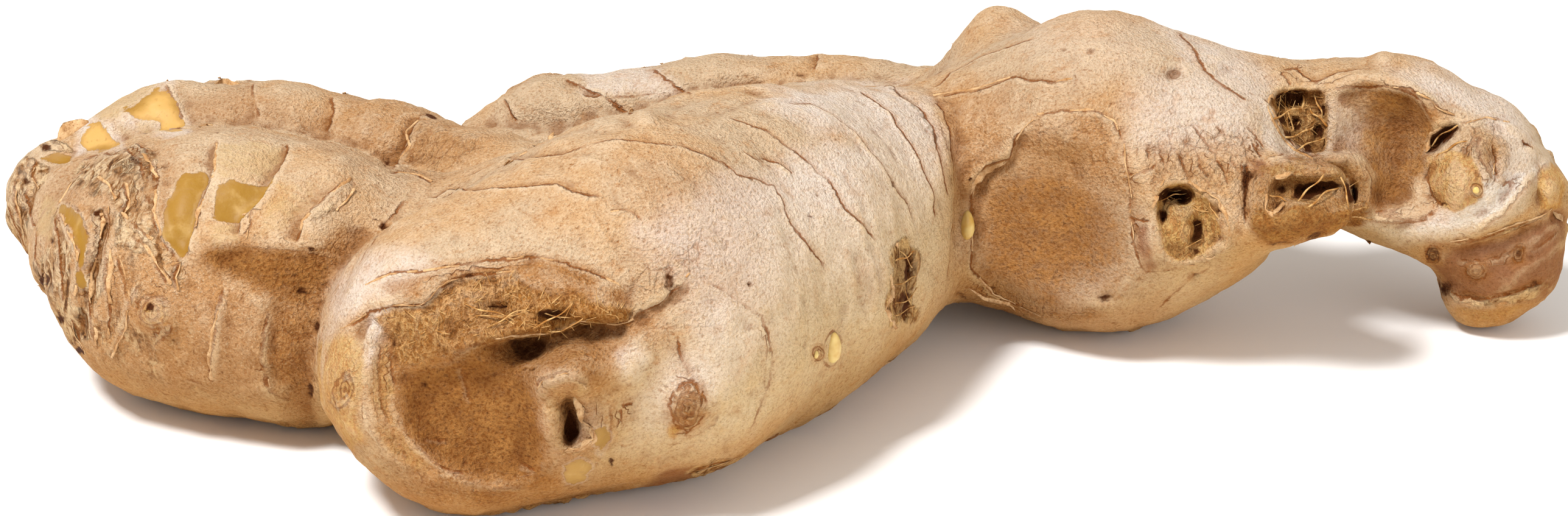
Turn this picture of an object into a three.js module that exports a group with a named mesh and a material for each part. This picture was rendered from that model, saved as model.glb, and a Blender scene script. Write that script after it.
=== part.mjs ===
// A fresh ginger rhizome, lying as it rests on a table. Millimetres, +Z up.
// It grew as one piece, so it is one solid: fat fingers that branch from each other and blend
// where they join.
// X runs along the hand of fingers, Y from the front finger to the back one, and Z = 0 is the table.
// The origin is under the middle of its bounding box.
import * as THREE from "three";

// ---- driving dimensions ----
const JOIN_BLEND = 4; // how far two fingers melt into each other where they join
const STATION_BLEND = 2; // how softly the stations along one finger run together
const SCAR_EDGE = 1.5; // radius of the soft edge round a scar's floor
const REST_DEPTH = 0.6; // how much of each belly is pressed flat where it rests on the table
const CELL = 3; // edge of the grid cells that the skin is sampled on
const CELL_INSET = 0.15; // how far a vertex of the skin stays inside its own cell
const FLAT_TOLERANCE = 0.01; // vertices this close to the resting plane lie exactly on it

// Each finger is a chain of round stations along its middle: [x, y, z, radius].
const FINGERS = {
  front_finger: [
    [-32.4, -16.2, 16.6, 16.5],
    [-15.5, -8.5, 19.3, 19.4],
    [-5, 4, 18.3, 18.6],
    [3.5, 16, 16.6, 16.6],
  ],
  left_front_finger: [
    [-77, 17.5, 13, 8],
    [-67, 9.5, 15.2, 15],
    [-59.5, 6.5, 15.6, 15.6],
    [-51.5, 4, 15.4, 15.2],
    [-44.5, 4, 14, 12.8],
  ],
  shoulder: [
    [-44.5, 5, 16, 10],
    [-39, 5.2, 18.5, 8.1],
    [-29.5, 3, 20, 9.8],
    [-15.5, 0, 20, 13],
  ],
  left_back_finger: [
    [-82.4, 30.8, 12.8, 7.9],
    [-70.5, 35, 12.8, 12.6],
    [-59, 34, 12.9, 12.9],
    [-47, 31.5, 14, 10.8],
    [-33.5, 21.5, 16, 9],
    [-20, 12, 17, 10],
  ],
  back_finger: [
    [-34.5, 52.4, 8, 7.4],
    [-28, 54, 9.3, 9.3],
    [-8, 54, 10.4, 10.5],
    [8, 53, 10.8, 10.6],
    [24, 42, 14, 10],
    [34, 32, 17, 11],
  ],
  back_hump: [
    [-7, 32.5, 17, 8.2],
    [0, 20, 16, 9],
  ],
  neck: [
    [5, 20, 17, 12],
    [28, 30, 17, 13],
  ],
  bulb: [
    [28, 30, 16.5, 14.4],
    [36.5, 27.5, 18.3, 18.4],
    [45.5, 24.3, 19.8, 13.6],
  ],
  horn: [
    [30, 38, 20, 9],
    [26, 43, 24, 6.8],
    [25.5, 45, 27, 4.4],
    [25, 46, 29.4, 2.3],
  ],
  hook_finger: [
    [46, 28, 24, 9],
    [54.7, 29, 24.9, 6.6],
    [62, 29, 22.2, 9],
    [69.5, 28, 21.2, 10.6],
    [77, 26, 18.3, 10],
    [81, 25, 14.5, 7.8],
    [82, 24.5, 9.7, 7.1],
    [80.3, 24.5, 4.6, 5],
  ],
  side_bud: [
    [80, 25, 16, 4],
    [87, 24, 17.8, 2.1],
  ],
  stem_stub: [
    [45, 16, 18.5, 8],
    [50, 13, 20.3, 5.4],
    [55.8, 10, 22.4, 4.4],
    [61, 8.5, 24, 4.1],
  ],
};

// Where a finger broke off, it left a round scar: a point on the skin, the way it faces, its radius and depth.
const SCARS = [
  { name: "front_scar", at: [-33.5, -32.5, 16], faces: [-0.1, -0.97, 0.1], radius: 10.5, depth: 2.8 },
  { name: "bulb_scar", at: [30, 12, 20], faces: [-0.3, -0.93, 0.1], radius: 11, depth: 1.5 },
  { name: "hook_scar", at: [69, 18, 23], faces: [0, -0.95, 0.3], radius: 6.8, depth: 2.5 },
];

// ---- the field: how far a point lies outside the skin, and negative inside it ----
function smoothUnion(a, b, width) {
  const overlap = Math.max(width - Math.abs(a - b), 0) / width;
  return Math.min(a, b) - (overlap * overlap * width) / 4;
}

function smoothCut(body, tool, width) {
  return -smoothUnion(-body, tool, width);
}

const link = new THREE.Line3();
const nearest = new THREE.Vector3();

function distanceToFinger(point, stations) {
  let distance = Infinity;
  for (let i = 0; i + 1 < stations.length; i++) {
    const [start, end] = [stations[i], stations[i + 1]];
    link.start.fromArray(start);
    link.end.fromArray(end);
    const share = link.closestPointToPointParameter(point, true);
    link.at(share, nearest);
    const radius = THREE.MathUtils.lerp(start[3], end[3], share);
    distance = smoothUnion(distance, point.distanceTo(nearest) - radius, STATION_BLEND);
  }
  return distance;
}

// A scar is cut by a round plug that stands on the scar's floor and reaches out of the skin.
function distanceToScarPlug(point, scar) {
  const facing = new THREE.Vector3(...scar.faces).normalize();
  const offset = point.clone().sub(new THREE.Vector3(...scar.at));
  const height = offset.dot(facing);
  const across = offset.addScaledVector(facing, -height).length() - scar.radius;
  const below = -scar.depth - height;
  const outside = Math.hypot(Math.max(across + SCAR_EDGE, 0), Math.max(below + SCAR_EDGE, 0));
  return Math.min(Math.max(across, below) + SCAR_EDGE, 0) + outside - SCAR_EDGE;
}

function field(point) {
  let distance = Infinity;
  for (const stations of Object.values(FINGERS)) {
    distance = smoothUnion(distance, distanceToFinger(point, stations), JOIN_BLEND);
  }
  for (const scar of SCARS) {
    distance = smoothCut(distance, distanceToScarPlug(point, scar), SCAR_EDGE);
  }
  return Math.max(distance, REST_DEPTH - point.z);
}

// Moves a point along the field's slope until it lies on the skin.
function settleOnSkin(point) {
  const step = 0.05;
  const gentlest = 0.25;
  const slope = new THREE.Vector3();
  for (let pass = 0; pass < 3; pass++) {
    const here = field(point);
    for (const axis of ["x", "y", "z"]) {
      const beside = point.clone();
      beside[axis] += step;
      slope[axis] = (field(beside) - here) / step;
    }
    point.addScaledVector(slope, -here / Math.max(slope.lengthSq(), gentlest));
  }
}

// ---- the skin: a vertex in each grid cell that it crosses, and a quad across each grid edge that it crosses ----
// A corner's number holds its place in its cell: bit 0 is X, bit 1 is Y and bit 2 is Z.
const CORNERS = [0, 1, 2, 3, 4, 5, 6, 7];
const CELL_EDGES = CORNERS.flatMap((a) => [1, 2, 4].filter((bit) => !(a & bit)).map((bit) => [a, a | bit]));
// A grid edge along X, Y or Z, and the two directions across it in right-handed order.
const EDGE_FRAMES = [
  [1, 2, 4],
  [2, 4, 1],
  [4, 1, 2],
];

function gridAround(fingers) {
  const box = new THREE.Box3();
  for (const [x, y, z, radius] of Object.values(fingers).flat()) {
    const middle = new THREE.Vector3(x, y, z);
    box.expandByPoint(middle.clone().addScalar(radius + 2 * CELL));
    box.expandByPoint(middle.clone().addScalar(-radius - 2 * CELL));
  }
  const size = box.getSize(new THREE.Vector3()).toArray();
  const [nx, ny, nz] = size.map((length) => Math.ceil(length / CELL) + 1);
  const steps = { 1: 1, 2: nx, 4: nx * ny };
  const point = (n) => new THREE.Vector3(n % nx, Math.floor(n / nx) % ny, Math.floor(n / (nx * ny)));
  const cells = [];
  for (let k = 0; k + 1 < nz; k++) {
    for (let j = 0; j + 1 < ny; j++) {
      for (let i = 0; i + 1 < nx; i++) cells.push((k * ny + j) * nx + i);
    }
  }
  return {
    count: nx * ny * nz,
    cells,
    place: (n) => point(n).multiplyScalar(CELL).add(box.min),
    corner: (n, c) => n + (c & 1) * steps[1] + ((c >> 1) & 1) * steps[2] + ((c >> 2) & 1) * steps[4],
    back: (n, bit) => n - steps[bit],
  };
}

// Corners inside the skin that are joined along the cell's edges share a group, and each group has a vertex.
function groupCorners(inside) {
  const group = CORNERS.map((c) => (inside[c] ? c : -1));
  for (let pass = 0; pass < 3; pass++) {
    for (const [a, b] of CELL_EDGES) {
      if (inside[a] && inside[b]) group[a] = group[b] = Math.min(group[a], group[b]);
    }
  }
  return group;
}

function skinOf(fingers) {
  const grid = gridAround(fingers);
  const values = Float32Array.from({ length: grid.count }, (_, n) => field(grid.place(n)));
  const positions = [];
  const vertexAt = new Map();
  const keyOf = (cell, corner) => cell * CORNERS.length + corner;

  for (const cell of grid.cells) {
    const inside = CORNERS.map((c) => values[grid.corner(cell, c)] < 0);
    if (inside.every(Boolean) || !inside.some(Boolean)) continue;
    const group = groupCorners(inside);
    for (const name of new Set(group.filter((g) => g >= 0))) {
      const crossings = [];
      for (const [a, b] of CELL_EDGES) {
        if (inside[a] === inside[b] || group[inside[a] ? a : b] !== name) continue;
        const [from, to] = [values[grid.corner(cell, a)], values[grid.corner(cell, b)]];
        const start = grid.place(grid.corner(cell, a));
        crossings.push(start.lerp(grid.place(grid.corner(cell, b)), from / (from - to)));
      }
      const vertex = crossings.reduce((sum, p) => sum.add(p), new THREE.Vector3());
      vertex.divideScalar(crossings.length);
      settleOnSkin(vertex);
      const low = grid.place(cell).addScalar(CELL_INSET);
      vertex.clamp(low, low.clone().addScalar(CELL - 2 * CELL_INSET));
      if (vertex.z < REST_DEPTH + FLAT_TOLERANCE) vertex.z = REST_DEPTH;
      for (const corner of CORNERS) {
        if (group[corner] === name) vertexAt.set(keyOf(cell, corner), positions.length / 3);
      }
      positions.push(...vertex.toArray());
    }
  }

  const index = [];
  for (const cell of grid.cells) {
    for (const [along, u, v] of EDGE_FRAMES) {
      const startsInside = values[cell] < 0;
      if (values[grid.corner(cell, along)] < 0 === startsInside) continue;
      const end = startsInside ? 0 : along;
      const [besideU, besideV] = [grid.back(cell, u), grid.back(cell, v)];
      const ring = [
        vertexAt.get(keyOf(cell, end)),
        vertexAt.get(keyOf(besideU, end | u)),
        vertexAt.get(keyOf(grid.back(besideU, v), end | u | v)),
        vertexAt.get(keyOf(besideV, end | v)),
      ];
      if (!startsInside) ring.reverse();
      index.push(ring[0], ring[1], ring[2], ring[0], ring[2], ring[3]);
    }
  }
  const geometry = new THREE.BufferGeometry();
  geometry.setAttribute("position", new THREE.Float32BufferAttribute(positions, 3));
  geometry.setIndex(index);
  return geometry;
}

function standOnOrigin(geometry) {
  geometry.computeBoundingBox();
  const { min, max } = geometry.boundingBox;
  return geometry.translate(-(min.x + max.x) / 2, -(min.y + max.y) / 2, -min.z);
}

const skin = new THREE.MeshStandardMaterial({ color: 0xd9b58a, roughness: 0.85, metalness: 0 });
const gingerRoot = new THREE.Mesh(standOnOrigin(skinOf(FINGERS)), skin);
gingerRoot.name = "ginger_root";

const ginger = new THREE.Group();
ginger.add(gingerRoot);
export default ginger;
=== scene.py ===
# %% [markdown]
# # A fresh ginger root
# This lesson dresses a plain solid as a fresh ginger rhizome: papery tan skin with rings, torn scars,
# buds, and small windows of bare yellow flesh. The solid gives the true size and the branching of the
# fingers. Everything here is worked in millimetres, and turned into metres only when a mesh is written.

# %% Load the solid and keep its box
import math

import bpy
import numpy as np
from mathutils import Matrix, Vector
from mathutils.bvhtree import BVHTree


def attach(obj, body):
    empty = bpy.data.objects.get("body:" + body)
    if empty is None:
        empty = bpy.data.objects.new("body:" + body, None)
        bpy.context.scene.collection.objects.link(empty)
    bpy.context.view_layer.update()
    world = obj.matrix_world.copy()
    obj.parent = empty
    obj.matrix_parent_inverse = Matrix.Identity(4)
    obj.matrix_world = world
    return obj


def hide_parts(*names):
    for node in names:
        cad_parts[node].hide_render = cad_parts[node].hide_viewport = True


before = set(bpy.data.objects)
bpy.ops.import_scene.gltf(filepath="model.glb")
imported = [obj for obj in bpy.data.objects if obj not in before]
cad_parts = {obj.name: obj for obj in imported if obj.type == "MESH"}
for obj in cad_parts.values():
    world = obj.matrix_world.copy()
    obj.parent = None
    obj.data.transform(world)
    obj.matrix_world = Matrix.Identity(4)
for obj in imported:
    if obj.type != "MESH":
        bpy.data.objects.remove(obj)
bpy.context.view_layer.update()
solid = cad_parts["ginger_root"]
MM = 0.001

# %% [markdown]
# ## The camera comes first
# A long lens from a little above the table keeps the fingers in true proportion. Many small features are
# easiest to place by where they show in the picture, so the camera also turns picture points into rays,
# and skin points into picture points. What is placed that way still lies on the skin, and looks right
# from every side.

# %% Camera
PICTURE_WIDTH, PICTURE_HEIGHT = 2576, 847
FOCAL_PIXELS = 6828
SENSOR_MM = 36
AIM = np.array([0.1, -17.3, 19.9])
DISTANCE = 450
LOOK_DOWN = math.radians(25)

ahead = np.array([0, math.cos(LOOK_DOWN), -math.sin(LOOK_DOWN)])
upward = np.array([0, math.sin(LOOK_DOWN), math.cos(LOOK_DOWN)])
rightward = np.array([1.0, 0, 0])
eye = AIM - DISTANCE * ahead

lens = bpy.data.cameras.new("camera")
lens.sensor_width = SENSOR_MM
lens.lens = FOCAL_PIXELS * SENSOR_MM / PICTURE_WIDTH
lens.clip_end = 5
camera = bpy.data.objects.new("camera", lens)
camera.location = eye * MM
camera.rotation_euler = (math.pi / 2 - LOOK_DOWN, 0, 0)
bpy.context.scene.collection.objects.link(camera)
bpy.context.scene.camera = camera


def picture_of(points):
    """The picture coordinates of points, right and down in pixels, and their distance ahead of the eye."""
    offset = points - eye
    distance = offset @ ahead
    right = PICTURE_WIDTH / 2 + FOCAL_PIXELS * (offset @ rightward) / distance
    down = PICTURE_HEIGHT / 2 - FOCAL_PIXELS * (offset @ upward) / distance
    return np.stack([right, down], axis=1), distance


def ray_through(right, down):
    """The direction from the eye through a picture point."""
    across = (right - PICTURE_WIDTH / 2) / FOCAL_PIXELS
    above = (PICTURE_HEIGHT / 2 - down) / FOCAL_PIXELS
    return Vector(ahead + across * rightward + above * upward).normalized()


print("lens", round(lens.lens, 1), "mm, eye at", eye.round(1))

# %% [markdown]
# ## Smooth random values
# Skin is never even. One small function gives a smooth random value at any point in space, and sums of it
# at several sizes make lumps, wrinkles and stains. It needs no texture file, and gives the same values
# each time.


# %% Random values in space
HASH_STEPS = (374761393, 668265263, 2147483647)
HASH_SEED_STEP = 974634777


def hashed(cells, seed):
    """A random number from -1 to 1 for each whole-numbered cell."""
    mixed = (cells * HASH_STEPS).sum(-1) + seed * HASH_SEED_STEP
    mixed = (mixed ^ (mixed >> 13)) * 1274126177
    mixed = mixed ^ (mixed >> 16)
    return (mixed & 0xFFFF) / 32767.5 - 1


def lumps(points, size, seed):
    """Smooth random values from -1 to 1, in lumps about `size` across, or one size for each axis."""
    scaled = points / np.asarray(size, float)
    cell = np.floor(scaled).astype(np.int64)
    part = scaled - cell
    part = part * part * (3 - 2 * part)
    total = np.zeros(len(points))
    for corner in np.ndindex(2, 2, 2):
        weight = np.prod(np.where(corner, part, 1 - part), axis=1)
        total += weight * hashed(cell + np.array(corner), seed)
    return total


def rough(points, size, seed, octaves=3):
    """Lumps with smaller lumps on them, each half as high and half as wide."""
    total = sum(lumps(points, np.asarray(size, float) / 2**n, seed + n) / 2**n for n in range(octaves))
    return total / 1.5


def smoothstep(low, high, value):
    """0 below low, 1 above high, and a soft step between."""
    share = np.clip((value - low) / (high - low), 0, 1)
    return share * share * (3 - 2 * share)


# %% [markdown]
# ## The skin as a carved surface
# The solid has flat facets. Remeshing it into small even quads and smoothing them gives a soft body to
# carve, like clay. The skin is kept as plain arrays: where each point is, which way it faces, and where
# it shows in the picture.


# %% The skin class
TURNED_AWAY = -0.2
SEEN_SLACK = 1.2


class Skin:
    """The root's surface while it is carved, in millimetres."""

    def __init__(self, mesh):
        self.mesh = mesh
        self.points = np.empty(len(mesh.vertices) * 3)
        mesh.vertices.foreach_get("co", self.points)
        self.points = self.points.reshape(-1, 3) / MM
        self.refresh()

    def refresh(self, look=True):
        """Works out the normals after a move. With look, also what the camera sees, and where."""
        self.mesh.vertices.foreach_set("co", (self.points * MM).ravel())
        self.mesh.update()
        self.normals = np.empty(self.points.size)
        self.mesh.vertex_normals.foreach_get("vector", self.normals)
        self.normals = self.normals.reshape(-1, 3)
        if not look:
            return
        self.tree = self.new_tree()
        self.picture, self.distance = picture_of(self.points)
        towards = eye - self.points
        reach = np.linalg.norm(towards, axis=1)
        self.facing = (self.normals * towards).sum(1) / reach
        self.seen = np.zeros(len(self.points), bool)
        start = Vector(eye)
        for i in np.flatnonzero(self.facing > TURNED_AWAY):
            hit = self.tree.ray_cast(start, Vector(-towards[i]))
            self.seen[i] = hit[3] is None or hit[3] > reach[i] - SEEN_SLACK

    def new_tree(self):
        """The surface as it is now, for finding where rays meet it."""
        faces = [tuple(face.vertices) for face in self.mesh.polygons]
        return BVHTree.FromPolygons(self.points.tolist(), faces)

    def at(self, right, down):
        """The point of the skin that shows at a picture point, and the way it faces."""
        place, normal, _, _ = self.tree.ray_cast(Vector(eye), ray_through(right, down))
        if place is None:
            return None, None
        return np.array(place), np.array(normal)

    def push(self, amount):
        """Moves each point along its normal."""
        self.points += self.normals * np.asarray(amount)[:, None]


def modified(mesh, modifiers):
    """A copy of a mesh after some modifiers, each given as its kind and its settings."""
    holder = bpy.data.objects.new("modified", mesh.copy())
    bpy.context.scene.collection.objects.link(holder)
    for kind, settings in modifiers:
        modifier = holder.modifiers.new(kind, kind)
        for name, setting in settings.items():
            setattr(modifier, name, setting)
    made = bpy.data.meshes.new_from_object(holder.evaluated_get(bpy.context.evaluated_depsgraph_get()))
    bpy.data.objects.remove(holder)
    return made


def remeshed(mesh, voxel, rounds):
    """A copy of a mesh in even quads about `voxel` millimetres wide, smoothed some rounds."""
    fine = ("REMESH", {"mode": "VOXEL", "voxel_size": voxel * MM})
    return modified(mesh, [fine, ("SMOOTH", {"iterations": rounds})])


CLAY_VOXEL, CLAY_ROUNDS = 0.9, 10
welded = modified(solid.data, [("WELD", {"merge_threshold": 1e-6})])
clay = Skin(remeshed(welded, CLAY_VOXEL, CLAY_ROUNDS))
print("clay has", len(clay.points), "points, of which the camera sees", int(clay.seen.sum()))

# %% [markdown]
# ## Tools for carving by what shows
# A hollow, a mound or a torn edge is described by where it shows: an outline or a path of picture points.
# Each tool says how far every seen point sinks away from the eye. Sinking along the line of sight keeps
# every shape in its place in the picture, and can cut under an edge, which a push along the normal can't.


# %% Distances in the picture
def pairs(path):
    """The picture points of a path or an outline, which is a list of numbers: right, down, right, down."""
    return np.reshape(path, (-1, 2)).astype(float)


def path_distances(spots, path):
    """How far each spot is from a path, its share of the way along from 0 to 1, and its side, as +1 or -1.
    The + side is on the right hand when walking the path in the picture."""
    path = pairs(path)
    steps = np.linalg.norm(np.diff(path, axis=0), axis=1)
    travelled = np.concatenate([[0], np.cumsum(steps)]) / steps.sum()
    best = np.full(len(spots), np.inf)
    share = np.zeros(len(spots))
    side = np.ones(len(spots))
    for i, (start, end) in enumerate(zip(path[:-1], path[1:])):
        leg = end - start
        part = np.clip(((spots - start) @ leg) / (leg @ leg), 0, 1)
        offset = spots - start - part[:, None] * leg
        away = np.hypot(offset[:, 0], offset[:, 1])
        closer = away < best
        best[closer] = away[closer]
        share[closer] = (travelled[i] + part * (travelled[i + 1] - travelled[i]))[closer]
        side[closer] = np.sign(leg[0] * offset[:, 1] - leg[1] * offset[:, 0])[closer]
    return best, share, side


def inside_distance(spots, outline):
    """How far each spot is inside a closed outline, in pixels, and negative outside it."""
    outline = pairs(outline)
    closed = np.vstack([outline, outline[:1]])
    away = path_distances(spots, closed)[0]
    inside = np.zeros(len(spots), bool)
    for (x0, y0), (x1, y1) in zip(closed[:-1], closed[1:]):
        if y0 == y1:
            continue
        crosses = (spots[:, 1] < y0) != (spots[:, 1] < y1)
        inside ^= crosses & (spots[:, 0] < x0 + (spots[:, 1] - y0) * (x1 - x0) / (y1 - y0))
    return np.where(inside, away, -away)


def round_distance(spots, centre, radii, lean=0):
    """How far out each spot is in an ellipse: 0 at its centre, 1 at its edge. lean turns it, in degrees."""
    turn = math.radians(lean)
    offset = spots - np.asarray(centre, float)
    along = offset[:, 0] * math.cos(turn) + offset[:, 1] * math.sin(turn)
    across = offset[:, 1] * math.cos(turn) - offset[:, 0] * math.sin(turn)
    return np.hypot(along / radii[0], across / radii[1])


# %% Carving tools
FADE_FROM, FADE_TO = 0.02, 0.2


class Carving:
    """Adds up how far each seen point sinks away from the eye. Outlines waver by `ragged` pixels."""

    def __init__(self, skin, ragged):
        self.skin = skin
        self.who = np.flatnonzero(skin.seen)
        here = skin.points[self.who]
        waver = np.stack([rough(here, 1.8, 301), rough(here, 1.8, 302)], axis=1)
        self.spots = skin.picture[self.who] + ragged * waver
        self.sink = np.zeros(len(self.who))
        self.hold = smoothstep(FADE_FROM, FADE_TO, skin.facing[self.who])

    def hollow(self, outline, depth, edge=14, outer=0):
        """Sinks what lies in an outline, with a wall `edge` pixels wide."""
        self.sink += depth * smoothstep(-outer, edge, inside_distance(self.spots, outline))

    def overhang(self, path, depth, reach, wall=5, taper=0.15):
        """Sinks the right-hand side of a path sharply, and eases back to nothing over `reach` pixels."""
        away, share, side = path_distances(self.spots, path)
        signed = away * side
        ends = smoothstep(0, taper, share) * smoothstep(0, taper, 1 - share)
        self.sink += depth * ends * smoothstep(-wall, wall, signed) * (1 - smoothstep(0, reach, signed))

    def ridge(self, path, height, width, taper=0.2):
        """Raises a rounded ridge along a path."""
        away, share, _ = path_distances(self.spots, path)
        ends = smoothstep(0, taper, share) * smoothstep(0, taper, 1 - share)
        self.sink -= height * ends * np.exp(-((away / width) ** 2))

    def mound(self, centre, radii, height, lean=0):
        """Raises a dome, or sinks a dimple if the height is negative."""
        out = round_distance(self.spots, centre, radii, lean)
        self.sink -= height * np.exp(-(out**2))

    def apply(self):
        """Moves the points, and measures the skin again."""
        lines = self.skin.points[self.who] - eye
        lines /= np.linalg.norm(lines, axis=1)[:, None]
        self.skin.points[self.who] += lines * (self.sink * self.hold)[:, None]
        self.skin.refresh()


def carve(tool, rows):
    """Uses a carving tool once for each row of a table. A row holds what the tool takes, in order."""
    for row in rows:
        tool(*row)


# %% [markdown]
# ## The big forms
# First come the forms that catch the light: the torn cleft over the front scar, the dished scars, the
# hollow stub, the bowl of the hooked finger, and the folds between fingers.

# %% Where one finger stands in front of another
carving = Carving(clay, 2)
FINGER_JOIN = [
    1552, 500, 1568, 290, 1562, 215, 1552, 188, 1530, 161, 1500, 148, 1450, 138, 1380, 132, 1345, 134,
    1310, 143, 1275, 156, 1262, 166, 1190, 190, 1110, 200, 1060, 199, 1010, 219, 950, 228, 745, 198,
]
LOBE_EDGE = [1262, 164, 1215, 152, 1190, 153, 1130, 172, 1110, 185, 1098, 200]
LEFT_FINGER_TOP = [
    715, 296, 650, 285, 600, 262, 545, 250, 500, 226, 475, 229, 450, 218, 420, 212, 350, 206, 260, 218,
    125, 262, 100, 275, 84, 290, 52, 350, 48, 385, 66, 450,
]
FRONT_FINGER_EDGE = [632, 372, 566, 470, 539, 520, 522, 580, 516, 640, 521, 690, 540, 730]
carve(carving.overhang, [
    (FINGER_JOIN, 1.8, 70, 5, 0.05), (LOBE_EDGE, 1.8, 45, 4), (LEFT_FINGER_TOP, 1.6, 80, 4, 0.05),
    (FRONT_FINGER_EDGE, 2.2, 85, 5, 0.1),
])

# %% The front finger's torn end
UPPER_CRACK = [600, 468, 640, 450, 700, 445, 780, 430, 870, 423, 895, 424, 990, 455, 1015, 465, 1028, 480]
LOWER_CRACK = [
    560, 542, 590, 526, 605, 512, 640, 503, 690, 499, 705, 490, 720, 472, 745, 458, 775, 450, 850, 446,
]
CLEFT_EDGE = [760, 580, 790, 562, 850, 549, 899, 546, 953, 526, 1010, 533, 1040, 528]
CLEFT_END = [980, 527, 1010, 533, 1032, 530, 1085, 498, 1150, 448]
END_FACE = [
    606, 545, 650, 505, 760, 560, 885, 610, 908, 745, 895, 785, 850, 802, 790, 800, 735, 782, 690, 750,
    655, 705, 618, 640,
]
SCAR_FLOOR = [
    650, 640, 660, 610, 700, 592, 800, 564, 850, 558, 882, 584, 880, 630, 904, 720, 906, 755, 890, 788,
    840, 798, 790, 793, 740, 776, 700, 750, 670, 720, 652, 690,
]
FRONT_PIT = [914, 656, 934, 648, 946, 658, 956, 682, 954, 712, 938, 736, 926, 722]
carve(carving.overhang, [
    (UPPER_CRACK, 0.6, 34, 4), (LOWER_CRACK, 1.6, 110, 5, 0.12), (CLEFT_EDGE, 5.0, 80, 5, 0.3),
    (CLEFT_END, 1.8, 26, 4, 0.3),
])
carve(carving.hollow, [
    ([826, 562, 850, 550, 902, 546, 908, 566, 892, 600, 862, 606, 838, 590], 1.8, 22, 8),
    ([786, 500, 840, 497, 852, 506, 800, 520], 1.6, 8, 3),
    ([880, 516, 945, 508, 950, 522, 905, 542, 885, 532], 2.2, 8, 3), (END_FACE, 1.8, 46, 6),
    (SCAR_FLOOR, 1.2, 70, 8), (FRONT_PIT, 3.4, 9, 3),
])
carve(carving.ridge, [
    ([860, 450, 920, 462, 980, 480, 1040, 496], 1.7, 30, 0.3),
    ([860, 500, 920, 512, 980, 514, 1040, 508], 1.2, 14), ([715, 540, 790, 520, 860, 500], -1.6, 26),
    ([648, 640, 655, 695, 680, 728, 712, 758, 752, 781, 800, 797, 860, 801, 900, 793], 0.5, 6),
    ([640, 505, 614, 530, 603, 580, 600, 640, 608, 700, 640, 755, 700, 795], 1.0, 9),
    ([622, 560, 620, 620, 630, 690], -0.4, 7), ([908, 556, 894, 590, 886, 636, 892, 670], 0.6, 12),
    ([892, 640, 905, 622, 932, 615, 955, 626, 966, 655], 1.2, 10),
    ([962, 692, 978, 704, 974, 726, 950, 742, 926, 742], 1.1, 8), ([905, 660, 902, 700, 914, 735], 0.8, 8),
    ([1104, 545, 1113, 575, 1140, 622, 1150, 652], -0.5, 8), ([600, 560, 596, 620, 598, 690], -0.7, 6),
    ([1205, 510, 1250, 560, 1256, 620, 1225, 700], -0.5, 14),
    ([1150, 500, 1180, 560, 1190, 640, 1170, 700], 0.5, 30),
])
carve(carving.mound, [
    ((950, 596), (60, 46), 3.0), ((1045, 590), (34, 46), 1.2), ((990, 690), (26, 44), 0.9),
    ((948, 772), (30, 18), 0.8), ((1131, 667), (38, 48), 1.3), ((560, 630), (34, 80), 1.0),
])

# %% The steps between the rings of the left fingers
DENT_TOP = [338, 436, 334, 424, 342, 412, 400, 404, 490, 412, 560, 425]
carve(carving.overhang, [
    (DENT_TOP, 1.1, 100, 7, 0.25), ([470, 228, 473, 250, 438, 310, 398, 356, 394, 396], 1.0, 52, 4),
    ([553, 300, 530, 325, 500, 346, 487, 400], 0.6, 50, 4),
    ([357, 228, 347, 315, 328, 375, 302, 428], 1.1, 48, 4),
    ([302, 430, 288, 415, 264, 368, 258, 345, 262, 290, 245, 232], 0.7, 40),
    ([182, 330, 184, 380, 146, 520, 140, 560], 1.8, 30, 6), ([10, 330, 22, 366, 38, 398, 50, 420], 1.0, 24),
    ([450, 646, 438, 610, 434, 566, 444, 515, 430, 498], 0.9, 60),
    ([303, 212, 296, 180, 280, 148], 0.7, 50, 4), ([414, 124, 420, 160, 427, 205], 0.5, 50, 4),
    ([545, 136, 548, 180, 540, 228], 0.6, 50, 4), ([692, 186, 672, 225, 655, 262, 648, 282], 1.0, 44, 6),
])
carve(carving.hollow, [([655, 225, 700, 215, 735, 240, 715, 280, 660, 285], 0.9, 16)])
carve(carving.ridge, [
    ([100, 325, 130, 345, 144, 370, 148, 400, 144, 430, 134, 448], 0.9, 6),
    ([84, 340, 95, 365, 101, 400, 104, 500], -0.9, 6), ([96, 345, 124, 400, 128, 430, 122, 490], 0.8, 6),
    ([60, 340, 66, 380, 62, 420, 92, 520], 0.9, 8), ([180, 330, 188, 380, 180, 430], 0.8, 7),
    ([30, 280, 26, 330, 34, 380], 0.6, 8), ([52, 280, 44, 320, 50, 350], 0.7, 8),
    ([233, 465, 210, 512, 206, 538, 182, 590], 0.6, 8), ([284, 528, 275, 545, 264, 562, 254, 582], 0.5, 7),
    ([366, 470, 353, 530, 346, 620], 0.8, 8), ([690, 200, 760, 222, 830, 232], 0.8, 10),
])
carve(carving.mound, [((92, 243), (24, 10), 0.9), ((254, 511), (34, 40), 1.2)])

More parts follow.
